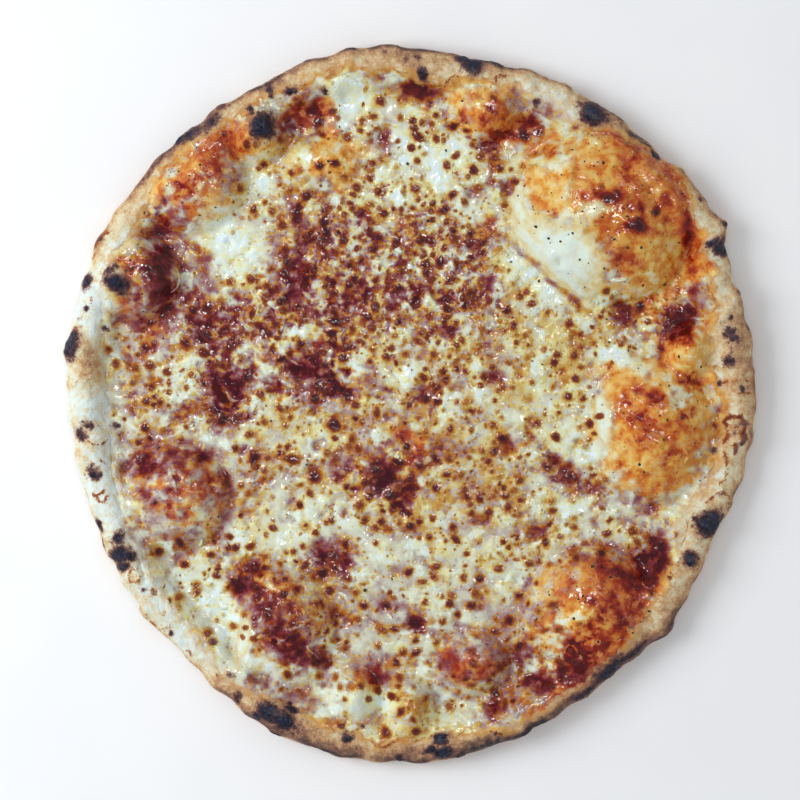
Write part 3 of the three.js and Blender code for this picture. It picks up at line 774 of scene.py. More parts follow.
topping = {
    "sauceFinish": (0.13, 0.25, 0.05),  # roughness where wet, shine, softness
    "cheeseFinish": (0.17, 0.3, 0.08),
    "sauceStep": 1.6,  # mm between mesh points
    "cheeseStep": 1.32,
    "sauceReach": 165,  # mm from the middle that the mesh may cover
    "cheeseReach": 162,
    "sauceGap": 0.12,  # between dough and sauce
    "sauceThickness": 0.95,
    "sauceEdge": 5.0,  # over how many mm it thins out towards the rim
    "cheeseThickness": 1.5,
    "filmThickness": 0.45,  # over the bubbles
    "cheeseEdge": 3.4,  # over how many mm it thins out
    "footSauceAndShade": 0.2,  # how dark the sauce is that gathers along the feet of the bubbles, partly painted shade at their feet
    # holes in the cheese where sauce has pooled or burst through: centre, half sizes, turn
    "pools": [
        (-82, 5, 7, 9, 20), (-47, 15, 8, 6, -15), (-10, -33, 6, 5, 30), (-3, -42, 4, 4, 0),
        (121, 36, 6, 8, -10), (97, 41, 4, 4, 0), (109, -70, 5, 8, -25), (-52, -109, 5.5, 4, 20),
        (-50, 58, 4, 8, 25), (67, -27, 5, 2.5, -35), (80, -38, 4, 2.5, -35), (57, -57, 3, 3, 0),
        (-36, 10, 3, 4, 0), (-28, 46, 5, 2, 0), (-52, 47, 5, 3.5, 0), (-47, 70, 2.5, 5, 0),
        (34, 50, 2.5, 4, 0), (55, 126, 3.2, 3.2, 0), (2, 141, 5, 1.6, 0), (-12, 120, 2.5, 3, 0),
        (-38, -67, 4.5, 4, 0), (-29, -72, 4.5, 4, 0), (4, -98, 2.5, 3, 0), (-38, -115, 3, 3, 0),
        (-75, -84, 5, 3, 0), (-92, -24, 2.5, 3, 0), (-103, -4, 2.5, 2.5, 0), (-93, 33, 4, 2, 0),
        (-78, 43, 3.5, 4, 0), (43, -20, 2.6, 2.6, 0), (75, -120, 4, 3, 30), (57, -125, 4, 3.5, 0),
        (38, -137, 3, 2.5, 0), (38, 118, 3.5, 2.5, 0), (-100, 48, 2.5, 3, 0), (-118, -28, 3.5, 4, 0),
        (5, 5, 2, 3, 0), (38, 12, 2.5, 2.5, 0), (-66, 33, 3, 3, 0), (-60, 8, 3, 3, 0),
        (12, 142, 3, 2, 0),
    ],
    # where the cheese is torn by many small gaps: centre, half sizes, turn, amount
    "torn": [
        (-88, 36, 14, 16, 0, 0.5), (-34, 14, 10, 24, 0, 0.4), (-18, -28, 18, 9, 0, 0.4),
        (-25, 62, 42, 34, 10, 0.8), (-55, 28, 28, 20, 0, 0.42), (18, 60, 22, 32, 0, 0.6),
        (-84, 12, 18, 26, 0, 0.8), (-104, 92, 18, 14, 30, 0.5), (-112, 60, 10, 16, 0, 0.5),
        (-104, -38, 22, 20, 0, 0.3), (-52, -102, 18, 22, 20, 0.35), (121, 2, 9, 11, 0, 0.7),
        (-74, -80, 11, 9, 0, 0.5), (72, -112, 26, 12, 30, 0.7), (112, 40, 14, 20, 0, 0.5),
        (-10, -38, 16, 12, 0, 0.5), (30, 120, 20, 10, 0, 0.4), (-45, 128, 16, 9, 10, 0.7),
        (108, -62, 10, 16, -30, 0.5), (70, -34, 20, 9, -30, 0.4), (-34, -70, 14, 9, 0, 0.4),
        (-30, 12, 22, 14, 0, 0.4),
    ],
    # darker and saucier, or paler and thicker, than the rest; on the bubbles some patches are painted shade
    # on the sides away from the lamp and painted light on the faces towards it: centre, half sizes, turn,
    # amount
    "body": [
        (-20, 58, 50, 38, 8, -0.05), (-12, -88, 12, 14, 0, -0.12), (-103, -24, 12, 10, 0, -0.1),
        (22, 50, 24, 34, 0, -0.02), (-84, 6, 11, 13, 0, -0.34), (-47, 14, 13, 9, -15, -0.16),
        (-12, -34, 9, 8, -40, -0.34), (-1, -15, 4, 9, 10, -0.3), (4, -29, 4, 10, -15, -0.3),
        (22, -22, 36, 34, 0, -0.08), (-12, -78, 20, 10, 0, -0.08), (28, -58, 30, 14, 0, -0.08),
        (121, 36, 9, 13, -10, -0.3), (97, 41, 8, 8, 0, -0.14), (109, -70, 8, 14, -25, -0.26),
        (-52, -110, 10, 7, -15, -0.34), (-39, -116, 4, 4, 0, -0.3), (-45, -90, 17, 15, 0, -0.2),
        (-66, -92, 10, 14, 20, -0.36), (-86, 116, 12, 8, 25, -0.4), (-125, 39, 9, 9, 0, -0.2),
        (-136, 46, 5, 9, 0, 0.2), (-121, 64, 12, 12, 0, -0.2), (-86, 100, 8, 8, 0, -0.26),
        (-103, 100, 8, 8, 0, -0.12), (-103, -61, 8, 6, 0, -0.14), (-67, -43, 8, 7, 0, -0.12),
        (-49, -115, 8, 7, 0, -0.1), (5, -133, 8, 6, 0, -0.14), (131, 46, 5, 8, 0, -0.16),
        (-103, -80, 8, 8, 0, 0.14), (23, 82, 9, 9, 0, 0.22), (-49, -133, 9, 7, 0, -0.16),
        (-67, -82, 8, 6, 0, 0.28), (-49, 83, 9, 12, 0, -0.14), (-60, 66, 6, 12, 0, -0.2),
        (20, 119, 9, 7, 0, 0.16), (113, 11, 8, 6, 0, 0.14), (92, 47, 10, 6, 0, 0.14),
        (-94, 60, 6, 14, 0, -0.16), (-92, 64, 3, 8, 0, -0.2), (-47, 131, 13, 9, 10, -0.3),
        (-50, 58, 8, 14, 25, -0.10), (73, -33, 14, 5, -35, -0.14), (-104, -42, 22, 22, 0, -0.16),
        # (-84, -44) darkens the right edge of a bubble as painted shade
        (-84, -44, 4, 15, 0, -0.2), (-98, -23, 8, 5, 0, -0.1), (30, -117, 14, 11, 0, -0.26),
        # (-111, 57) darkens the right side of a bubble as painted shade
        (-15, -122, 11, 9, 0, -0.26), (-111, 57, 6.5, 19, 0, -0.6), (-98, 97, 22, 16, 30, -0.05),
        (-106, 82, 14, 8, 20, -0.22), (66, -114, 26, 13, 30, -0.18), (48, -104, 14, 12, 0, -0.20),
        (86, -88, 24, 22, 40, -0.25), (104, -84, 5, 18, -20, -0.18), (-34, -69, 11, 7, 0, -0.24),
        (57, -57, 7, 6, 0, -0.14), (34, 50, 7, 9, 0, -0.10), (-118, -10, 8, 22, 0, -0.18),
        (40, 122, 20, 9, -10, -0.18), (2, 138, 12, 6, 0, -0.18), (112, -10, 16, 22, 0, -0.12),
        (-67, -80, 14, 12, 0, -0.20), (103, 92, 26, 22, -35, -0.14),
        (60, 98, 11, 10, 0, -0.02), (-121, 20, 8, 26, 0, -0.14), (126, 73, 4, 18, 8, -0.42),
        # (63, 56.5) is the dark line along the first bubble's lower-left foot: sauce and painted shade
        (63, 56.5, 27, 2, -43, -0.5), (92, 92, 5, 4, 0, -0.3), (113, 64, 10, 9, 0, 0.12),
        (-88, 34, 12, 14, 0, -0.22), (40, 20, 18, 24, 0, -0.02), (128, 23, 8, 8, 0, 0.12),
        (77, 28, 9, 9, 0, -0.08), (-110, 35, 11, 8, 0, -0.2), (-86, 88, 8, 10, 0, 0.06),
        (-32, 18, 9, 22, 0, -0.16), (-22, -26, 16, 8, 0, -0.16), (-12, -43, 10, 8, 0, -0.14),
        (5, -6, 8, 8, 0, -0.14), (-103, -24, 12, 8, 0, -0.14), (-67, -26, 8, 8, 0, -0.16),
        (32, -43, 14, 7, 0, -0.14), (-66, -76, 7, 18, 0, -0.12), (-49, -133, 9, 6, 0, -0.16),
        (48, -133, 14, 6, 20, -0.18), (23, -115, 8, 6, 0, 0.06), (38, 138, 12, 5, -15, -0.1),
        (58, 123, 8, 8, 0, -0.1), (92, 118, 24, 6, -32, -0.16), (-75, 100, 6, 12, 0, -0.12),
        (-75, 68, 20, 12, 0, 0.14), (-68, 104, 9, 8, 0, 0.12), (-27, 137, 9, 12, 0, 0.4),
        (15, 110, 18, 13, 0, 0.2), (58, 48, 12, 9, 0, 0.12), (50, 72, 7, 11, 0, 0.10),
        (-55, -55, 24, 11, 0, 0.08), (-5, -72, 28, 13, 0, 0.12), (70, -50, 14, 7, 0, 0.10),
        (-74, -108, 4, 15, -8, 0.30), (-45, -128, 10, 5, 0, 0.14), (90, 24, 8, 5, 0, 0.2),
        (-88, -88, 8, 10, -20, 0.14), (-74, -80, 9, 7, 0, -0.2), (-4, -92, 10, 2, 0, -0.3),
        (4, -99, 4.5, 4.5, 0, -0.36), (19, -116, 4, 9, 0, -0.3), (33, -129, 4, 4, 0, 0.14),
        (9, 131, 3, 7, 0, -0.26), (1, 141, 12, 4, 0, -0.2), (-10, 116, 3, 7, 20, -0.28),
        (-51, 84, 2.6, 10, 0, -0.34), (-39, 97, 4, 3.2, 0, 0.3), (-39, 111, 13, 8, 10, 0.2),
        (104, 50, 3.6, 5, 0, 0.42), (107, 38, 4, 4, 0, 0.42), (122, 45, 5, 4, 0, 0.32),
        (114, 23, 1.9, 8, 0, -0.34), (123, 13, 9, 1.9, -18, -0.34), (103, -6, 17, 8, -36, -0.24),
        (119, 1, 5, 9, -20, 0.28), (112, 3, 5, 4, 0, -0.2), (117, -31, 8, 5, 0, -0.1),
        (105, -30, 7, 5, 0, 0.12), (125, -14, 5, 8, 0, -0.12), (88, 55, 9, 5, -20, 0.04),
        (80, 109, 9, 6, 0, 0.02), (97, 112, 9, 6, -20, -0.06), (113, 58, 8, 8, 0, 0.06),
        (76, 51, 4, 3, 0, 0.2), (109, -70, 5, 9, -20, -0.2), (79, -69, 11, 3.4, -22, -0.3),
        (97, -76, 10, 3.4, -38, -0.3), (77, -93, 5, 3.4, 0, 0.3), (63, -106, 5, 6, 20, 0.24),
        (72, -97, 12, 10, 0, 0.12), (59, -115, 7, 4, 20, 0.32), (96, -112, 7, 9, 45, -0.1),
        (80, -125, 12, 6, 30, -0.3), (62, -136, 12, 5, 22, -0.3), (-49, 10, 6, 5, 0, 0.2),
        (-31, 10, 5, 8, 0, -0.16), (-85, -80, 8, 8, 0, 0.2), (-85, -98, 8, 10, 0, 0.1),
        (131, -7, 6, 9, 0, 0.06), (131, 29, 5, 8, 0, 0.12), (96, -25, 8, 5, 0, 0.12),
        (77, -109, 4.6, 2.4, -10, -0.6), (70, -118, 8, 6, 20, -0.2), (92, 24, 8, 5, 0, 0.16),
        (86, 45, 6, 2.2, 20, 0.3), (88, 92, 4.5, 3.5, 0, -0.4), (101, 79, 5, 3.6, 20, -0.7),
        (110, 86, 2.4, 2.4, 0, -0.6), (117, 71, 3, 3, 0, 0.2), (-64, -81, 8, 1.6, -30, 0.4),
        (34, -40, 20, 10, 0, 0.06), (20, -10, 20, 12, 0, 0.05), (60, 5, 18, 20, 0, 0.06),
        # (66, 62) lightens the first bubble's lower-left face, which faces the lamp, as painted light
        (66, 62, 19, 12, -42, 0.34), (49, 92, 4, 16, 4, 0.2), (82, 86, 6, 6, 0, 0.16),
        (86, -12, 4, 15, 8, 0.14), (124, -8, 6, 14, 0, 0.02), (75, -96, 9, 6, 0, 0.24),
        (63, -106, 8, 5, 0, 0.24), (-66, 22, 10, 10, 0, 0.08), (0, -138, 10, 9, 0, -0.04),
        (-25, -131, 10, 8, 0, 0.08), (33, 131, 12, 8, 0, 0.04), (-130, 60, 8, 14, 0, 0.02),
        (-112, 6, 12, 10, 0, 0.06), (-80, 70, 9, 14, 0, 0.14), (-67, 100, 8, 8, 0, 0.12),
        (-13, 100, 10, 8, 0, 0.14), (-33, 66, 8, 6, 0, 0.10), (77, -24, 9, 8, 0, 0.16),
        (113, -25, 9, 9, 0, 0.04), (-80, -106, 8, 20, -12, 0.12), (23, -61, 10, 8, 0, 0.12),
        (94, -60, 8, 6, 0, 0.12), (-13, -134, 8, 6, 0, 0.4), (22, -133, 7, 5, 0, 0.10),
        (94, 60, 12, 9, -30, -0.1), (44, 60, 10, 12, 0, 0.06), (15, 66, 14, 14, 0, 0.06),
        (-15, 84, 20, 8, 0, 0.04),
    ],
    # 1 amber with oil, -1 mauve where thin cheese veils sauce
    "warmth": [
        (-20, 60, 46, 34, 8, 0.15), (20, 50, 20, 30, 0, 0.3), (-66, 100, 10, 9, 0, 0.5),
        (58, 8, 18, 22, 0, 0.4), (62, 36, 24, 14, 0, 0.6), (-55, -55, 24, 12, 0, 0.2),
        (50, 74, 9, 13, 0, 0.5), (-40, 108, 18, 11, 0, 1.8), (77, 28, 12, 11, 0, 1.2),
        (-86, 66, 8, 12, 0, 1.4), (5, 118, 8, 6, 0, 0.8), (-25, -131, 11, 9, 0, 0.9),
        (0, -139, 11, 11, 0, 0.7), (-5, 20, 26, 14, 0, 0.2), (30, -24, 34, 34, 0, 0.2),
        (-1, -15, 5, 10, 10, 0.5), (77, -94, 9, 6, 0, 0.9), (92, -88, 14, 16, 30, 0.9),
        (-110, 10, 12, 14, 0, 0.2), (-84, 8, 16, 18, 0, -0.7), (-47, 14, 14, 10, 0, -0.3),
        (-8, -37, 12, 10, 0, -0.3), (114, 42, 16, 14, 0, -0.3), (-45, -92, 16, 13, 0, 1.2),
        (-34, -97, 4, 4, 0, 1.5), (33, -129, 5, 5, 0, 1.6), (-60, -105, 34, 30, 0, -0.5),
        (10, -95, 34, 14, 0, -0.9), (0, -116, 40, 14, 0, -0.5), (-20, -98, 60, 30, 0, -0.4),
        (-100, 0, 26, 50, 0, -0.35), (-122, -40, 24, 44, 0, -1.0), (-60, -50, 44, 28, 0, -0.4),
        (25, -112, 46, 18, 0, -1.0), (23, -115, 9, 7, 0, -0.8), (-66, -132, 12, 7, 0, -1.0),
        (-55, -125, 30, 18, 0, -1.0), (-125, 39, 9, 9, 0, -1.4), (-94, 58, 8, 16, 0, -1.0),
        (125, 0, 18, 44, 0, 0.6), (-66, -90, 12, 12, 20, 0.5), (122, 44, 6, 5, 0, -1.6),
        (104, 50, 4, 6, 0, 2), (107, 38, 4, 4, 0, 2), (-39, 97, 5, 4, 0, -1.6),
        (75, 26, 12, 12, 0, 0.8), (121, 2, 8, 11, 0, -1.0), (0, -135, 14, 9, 0, 0.8),
        (4, -99, 6, 6, 0, -1.2), (-10, 116, 5, 8, 20, -1.2), (-48, 128, 14, 10, 0, -0.4),
        (-50, 56, 14, 18, 0, -0.3), (-34, -69, 12, 8, 0, -0.6), (-75, 68, 18, 12, 0, -0.3),
        (-104, -40, 20, 22, 0, -0.1), (-93, -43, 8, 13, 0, 0.8), (-118, 18, 12, 16, 0, -1.1),
        # (-111, 57) is part of the painted shade on that bubble's right side
        (-111, 57, 6, 18, 0, -1.2), (-131, 60, 9, 14, 0, 1.6), (-68, 30, 16, 16, 0, -0.5),
        (-80, -100, 12, 20, 0, -0.3), (98, 88, 36, 28, -38, 2.0), (70, 70, 24, 14, -42, 0.6),
        (110, 60, 18, 18, 0, 1.4), (125, -14, 7, 9, 0, -1.6), (119, 1, 6, 9, -20, -2),
        (30, 0, 60, 40, 0, 0.15), (-60, -10, 40, 40, 0, -0.15), (0, -72, 26, 12, 0, -0.15),
    ],
    # orange, as on the bubbles
    "orange": [
        (99, 90, 35, 26, -38, 1.15), (110, 62, 18, 18, 0, 0.75), (62, 96, 11, 10, 0, 0.8),
        (131, 82, 5, 8, 0, 0.7), (131, 64, 5, 6, 0, 0.6), (119, 1, 6, 9, -20, -0.6),
        (125, -14, 6, 9, 0, -0.1), (-46, 131, 13, 8, 0, 0.8), (-1, -15, 4, 9, 10, 0.8),
        (-31, 112, 10, 8, 0, 0.7), (-31, 101, 8, 7, 0, 0.5), (41, 82, 6, 9, 0, 0.4),
        (93, -12, 9, 26, 0, 0.4), (90, 12, 10, 8, 0, 0.4), (104, 50, 4, 6, 0, 1.2),
        (107, 38, 4, 4, 0, 1.2), (124, 74, 7, 20, 10, 0.7), (-40, 109, 14, 9, 10, 0.75),
        (77, -94, 6, 5, 0, 0.6), (-84, 92, 10, 16, 0, 0.3), (-110, 35, 10, 8, 0, 0.6),
        (131, 12, 8, 14, 0, 0.6), (110, -11, 22, 27, 0, 1.0), (110, -32, 14, 8, 0, 0.5),
        (125, -22, 8, 12, 0, 0.5), (127, 22, 12, 11, 0, 1.3), (84, -92, 29, 26, 40, 0.98),
        (30, -117, 14, 11, 0, 0.6), (-57, -98, 18, 22, 20, 0.3), (-103, -41, 19, 19, 0, 0.36),
        # (-111, 57) takes the orange out of the painted shade on that bubble's right side
        (-92, -42, 7, 13, 0, 0.3), (-128, 57, 13, 15, 0, 0.5), (-111, 57, 7, 19, 0, -0.7),
        (-100, 97, 20, 15, 30, 0.6), (-68, 118, 11, 11, 0, 0.6), (-86, 116, 13, 8, 25, 0.6),
        (-125, 39, 9, 9, 0, 0.2), (122, 4, 12, 40, 0, 0.35), (96, -112, 8, 10, 45, 0.6),
        (72, -130, 18, 7, 30, 0.6), (33, 131, 15, 12, 0, 1.0), (-15, -122, 9, 8, 0, 0.5),
        (55, 120, 16, 8, -20, 0.6), (-128, 20, 8, 40, 0, 0.1),
    ],
    # bare, creamy dough showing on the bubbles, partly painted light on their left faces and ridges that
    # face the lamp
    "creamAndLitSide": [
        # (66, 60.5) is a painted highlight along the first bubble's lower-left edge
        (68, 66, 22, 10, -43, 1.1), (66, 60.5, 26, 2, -43, 1.0), (75, 72, 12, 9, -40, 0.5),
        (49, 92, 3.5, 15, 4, 0.8), (82, 86, 5, 5, 0, 0.6), (87.5, -7, 4, 13, 6, 1.1),
        (119, 2, 3.4, 7, -20, 0.5), (-75, -108, 3.2, 14, -8, 0.9), (70.5, 95, 2, 5, 0, 0.5),
        (-132, 72, 8, 8, 20, 0.6), (-120, 70, 6, 4, 0, 0.3),
    ],
}


def tornField(x, y):
    # 0 where the cheese is whole, 1 where it is most torn
    return np.clip(paint(x, y, topping["torn"], warp=5, seed=131), 0, 1)


def sauceCover(x, y):
    # about the distance in mm to the edge of the sauce, under 0 outside
    degrees, inset = polar(x, y)
    return inset - bareAt(degrees) + 1.6 * clouds(x, y, 9, 101) + 0.8 * clouds(x, y, 3, 103)


def sauceTop(x, y):
    # upper side of the sauce, lumpy where pulp lies in it
    lumps = 0.36 * clouds(x, y, 5.5, 107) + 0.24 * clouds(x, y, 2.2, 109, 2)
    cover = np.clip(sauceCover(x, y) / topping["sauceEdge"], 0, 1)
    deep = topping["sauceThickness"] * cover ** 0.6
    return doughTop(x, y) + topping["sauceGap"] + deep + (lumps + 0.7 * tornField(x, y)) * cover


def outerCover(x, y):
    # the same for the ragged outer edge of the cheese alone
    degrees, inset = polar(x, y)
    return inset - bareAt(degrees) - 0.6 + 3.6 * clouds(x, y, 11, 137) + 1.6 * clouds(x, y, 3.2, 139)


def holeCover(x, y):
    # about the distance in mm to the nearest hole in the cheese, under 0 inside one
    cover = np.full_like(x, 99.0)
    frayX = x + 2.6 * clouds(x, y, 5.2, 149)
    frayY = y + 2.6 * clouds(x, y, 5.2, 151)
    for cx, cy, halfX, halfY, turn in topping["pools"]:
        reach = ellipseReach(frayX, frayY, cx, cy, halfX, halfY, turn)
        cover = np.minimum(cover, (reach - 1) * min(halfX, halfY))
    lace = clouds(x, y, 5.4, 157, 2) + 0.35 * clouds(x, y, 2.4, 163, 2)
    return np.minimum(cover, 4.2 * (1.0 - 0.5 * tornField(x, y) - lace))


def cheeseCover(x, y):
    # both together
    return np.minimum(outerCover(x, y), holeCover(x, y))


def cheeseTop(x, y, cover=None):
    if cover is None:
        cover = cheeseCover(x, y)
    film = np.clip(paint(x, y, topping["orange"], warp=3, seed=167), 0, 1)
    lumps = 1 + 0.4 * clouds(x, y, 9, 173) + 0.22 * clouds(x, y, 3.3, 179)
    depth = topping["cheeseThickness"] * lumps * (1 - film) + topping["filmThickness"] * film
    depth = depth * (1 - 0.4 * tornField(x, y))
    return sauceTop(x, y) + 0.05 + depth * np.clip(cover / topping["cheeseEdge"], 0, 1)


def toppingLook(x, y):
    # numbers that the topping finish turns into colour
    torn = tornField(x, y)
    orange = np.clip(paint(x, y, topping["orange"], warp=5, seed=181), 0, 1)
    creamAndLitSide = np.clip(paint(x, y, topping["creamAndLitSide"], warp=1.5, seed=191), 0, 1)
    body = 0.745 + paint(x, y, topping["body"], warp=1.8, seed=199)
    body = body + 0.06 * clouds(x, y, 22, 203, 2) + (0.14 + 0.14 * torn) * clouds(x, y, 7.5, 205, 2)
    # darker along the feet of the bubbles: gathered sauce and painted shade
    foot = np.zeros_like(x)
    for bubble in dough["bubbles"]:
        reach = ellipseReach(x, y, *bubble[:5]) + 0.02 * clouds(x, y, 6, 243)
        foot = np.maximum(foot, np.exp(-(((reach - 1.02) * bubble[2] / 1.6) ** 2)))
    foot = foot * ease(clouds(x, y, 16, 241), -0.25, 0.45)
    body = body - topping["footSauceAndShade"] * foot
    creamAndLitSide = creamAndLitSide * (1 - foot)
    hole = holeCover(x, y)
    pooled = 1 - ease(hole, -2.2, 4.6)
    body = body - 0.40 * pooled
    warmth = 0.25 + 0.35 * paint(x, y, topping["warmth"], warp=5, seed=213)
    warmth = warmth + 0.42 * clouds(x, y, 10, 217)
    warmth = warmth - 0.12 * (1 - ease(hole, 0, 5))
    calm = (1 - np.clip(1.6 * torn, 0, 1)) * (1 - orange)
    body = body + 0.05 * calm - 0.035
    warmth = warmth + 0.12 * calm - 0.06
    stain = stainDepth(x, y)
    nearRim = 1 - ease(stain, 1, 4.5 + 2.5 * clouds(x, y, 12, 219))
    patchy = ease(clouds(x, y, 9, 239), -0.5, 0.4)
    doughMarks = crustLook(x, y)
    nearRim = nearRim * doughMarks["oil"]
    return {
        "body": np.maximum(body - 0.06 * nearRim, 0.08),
        "warmth": np.clip(warmth + 0.6 * nearRim, 0, 1),
        "orange": np.clip(orange * (1 - creamAndLitSide) + 0.7 * nearRim * patchy, 0, 1),
        "creamAndLitSide": creamAndLitSide,
        "stir": (0.20 + 0.62 * torn + 0.3 * pooled + 0.25 * orange) * (1 - 0.8 * creamAndLitSide),
        "halo": np.zeros_like(x),
        "spot": np.zeros_like(x),
        **doughMarks,
    }


def makeSauce():
    x, y, faces, onCut = cutSheet(topping["sauceStep"], topping["sauceReach"], sauceCover)
    marks = toppingLook(x, y)
    bottom = doughTop(x, y) + topping["sauceGap"] - 0.1
    return closeSheet("tomato_sauce_coat", x, y, faces, onCut, sauceTop(x, y), bottom, marks)


def makeCheese(spots):
    x, y, faces, onCut = cutSheet(topping["cheeseStep"], topping["cheeseReach"], cheeseCover)
    cover = np.where(onCut, 0, cheeseCover(x, y))
    marks = toppingLook(x, y)
    marks["halo"] = haloAt(x, y, spots)
    bottom = sauceTop(x, y) - 0.15
    return closeSheet("melted_mozzarella", x, y, faces, onCut, cheeseTop(x, y, cover), bottom, marks)


browning = {
    "tries": 30000,
    "seed": 7,
    "corners": 8,
    # rings of a spot, from inside out: share of the radius, brown, amber
    "rings": [(0.34, 0.97, 1), (0.66, 0.8, 1), (0.94, 0.44, 1), (1.24, 0.15, 0.9), (1.9, 0, 0)],
    "least": 0.5,  # radius in mm
    "most": 2.1,
    "number": 0.85,  # more or fewer of them
    "spacing": 0.85,  # under 1 lets them overlap
    "rise": 0.32,  # height in mm for each mm of radius
    "haloReach": 2.3,  # times the radius
    # how dark: for the smallest, for each mm more, spread, least, most
    "darkness": (0.10, 0.38, 0.19, 0.08, 0.9),
    # single large spots: place, radius
    "placed": [
        (-13, 136, 2.2), (-53, -25, 3), (-34, -10, 3), (-70, -24, 3), (-73, 12, 2.2), (-43, -33, 2.8),
        (-18, -42, 2), (-15, -56, 1.8), (-42, -58, 1.6), (-39, -76, 2), (-36, -84, 2.3),
        (-27, -79, 1.8), (-24, -85, 1.8), (-23, -97, 1.6), (-12, -102, 2.2), (-3, -112, 1.8),
        (-14, -109, 1.6), (-14, -129, 1.8), (-31, -127, 1.6), (-33, -123, 1.6), (6, -80, 2.2),
        (15, -98, 1.8), (18, -90, 2), (28, -91, 2), (32, -79, 1.8), (9, -60, 1.6), (54, -72, 1.8),
        (12, -38, 1.8), (17, -32, 2), (5, -28, 2), (66, -15, 2), (62, -29, 1.8), (47, 35, 1.8),
        (72, 36, 1.8), (44, 42, 2), (29, 105, 2.4), (31, 97, 2), (25, 91, 1.8), (4, 120, 2.5),
        (1, 115, 1.8), (-5, 107, 1.5), (-46, 93, 2.4), (-18, 101, 1.5), (-86, -74, 1.7),
        (-88, -107, 1.8), (-79, -100, 2), (-96, -82, 1.6), (-119, 25, 2), (-123, 16, 2), (-108, 5, 1.5),
        (-8, 25, 1.8), (-33, 53, 1.8), (-17, 34, 2), (102, 79, 2.6), (88, 91, 2.2), (110, 85, 1.6),
        (92, 94, 1.4), (85, 96, 1.5),
    ],
    # how many there are: centre, half sizes, turn, amount
    "dense": [
        (-15, 58, 56, 44, 0, 0.75), (20, 40, 40, 50, 0, 0.35), (-60, 20, 40, 34, 0, 0.45),
        (-40, -20, 60, 36, 0, 0.35), (30, -60, 70, 44, 0, 0.22), (-20, -95, 50, 34, 0, 0.26),
        (60, -10, 36, 50, 0, 0.27), (-95, -70, 26, 34, 0, 0.4), (95, 40, 26, 20, 0, 0.35),
        (-112, 10, 20, 36, 0, 0.4), (10, 105, 56, 28, 0, 0.35), (-70, 105, 20, 24, 0, 0.25),
        (66, -110, 34, 18, 30, 0.3), (30, -135, 40, 12, 0, 0.3),
    ],
    "sparse": [
        (74, 76, 26, 28, -38, -1.2), (100, 90, 26, 26, -38, -0.7), (108, -10, 24, 30, 0, -0.5),
        (-104, -40, 22, 22, 0, -0.9), (-122, 57, 18, 18, 0, -0.4), (-95, 97, 20, 16, 30, -0.4),
        (82, -92, 22, 20, 40, -0.3), (-5, -72, 22, 9, 0, -0.25), (15, 112, 16, 10, 0, -0.3),
        (-74, 68, 15, 10, 0, -0.3),
    ],
}


def placeSpots():
    # place, radius and strength of every browned spot
    spec = browning
    random = np.random.default_rng(spec["seed"])
    x = random.uniform(-155, 155, spec["tries"])
    y = random.uniform(-155, 155, spec["tries"])
    size = spec["least"] + (spec["most"] - spec["least"]) * random.random(spec["tries"]) ** 2.1
    size = size * (1 + 0.3 * tornField(x, y))
    dice = random.random(spec["tries"])
    many = 0.04 + paint(x, y, spec["dense"], warp=6, seed=223)
    many = spec["number"] * (many + paint(x, y, spec["sparse"], warp=3, seed=227))
    clumped = 0.35 + 0.9 * ease(clouds(x, y, 7, 229), -0.4, 0.5)
    ok = dice < many * clumped
    x, y, size = x[ok], y[ok], size[ok]
    placed = np.array(spec["placed"])
    x = np.concatenate([placed[:, 0], x])
    y = np.concatenate([placed[:, 1], y])
    size = np.concatenate([placed[:, 2], size])
    keep = []
    for i in range(len(x)):
        apart = (spec["spacing"] * (size[keep] + size[i])) ** 2
        near = (x[keep] - x[i]) ** 2 + (y[keep] - y[i]) ** 2 < apart
        if i < len(placed) or not near.any():
            keep.append(i)
    x, y, size = x[keep], y[keep], size[keep]
    ok = cheeseCover(x, y) > 0.3
    x, y, size = x[ok], y[ok], size[ok]
    faint, growth, spread, least, most = spec["darkness"]
    strength = faint + growth * (size - spec["least"]) + spread * random.standard_normal(len(x))
    strength = np.clip(strength, least, most)
    return np.stack([x, y, size, strength], 1)


def haloAt(x, y, spots):
    # amber fried ring round each spot, on the cheese
    tree = kdtree.KDTree(len(x))
    for i in range(len(x)):
        tree.insert((x[i], y[i], 0), i)
    tree.balance()
    halo = np.zeros(len(x))
    for cx, cy, size, strength in spots:
        reach = browning["haloReach"] * size
        for _, i, away in tree.find_range((cx, cy, 0), reach):
            halo[i] = max(halo[i], strength * (1 - away / reach))
    return halo


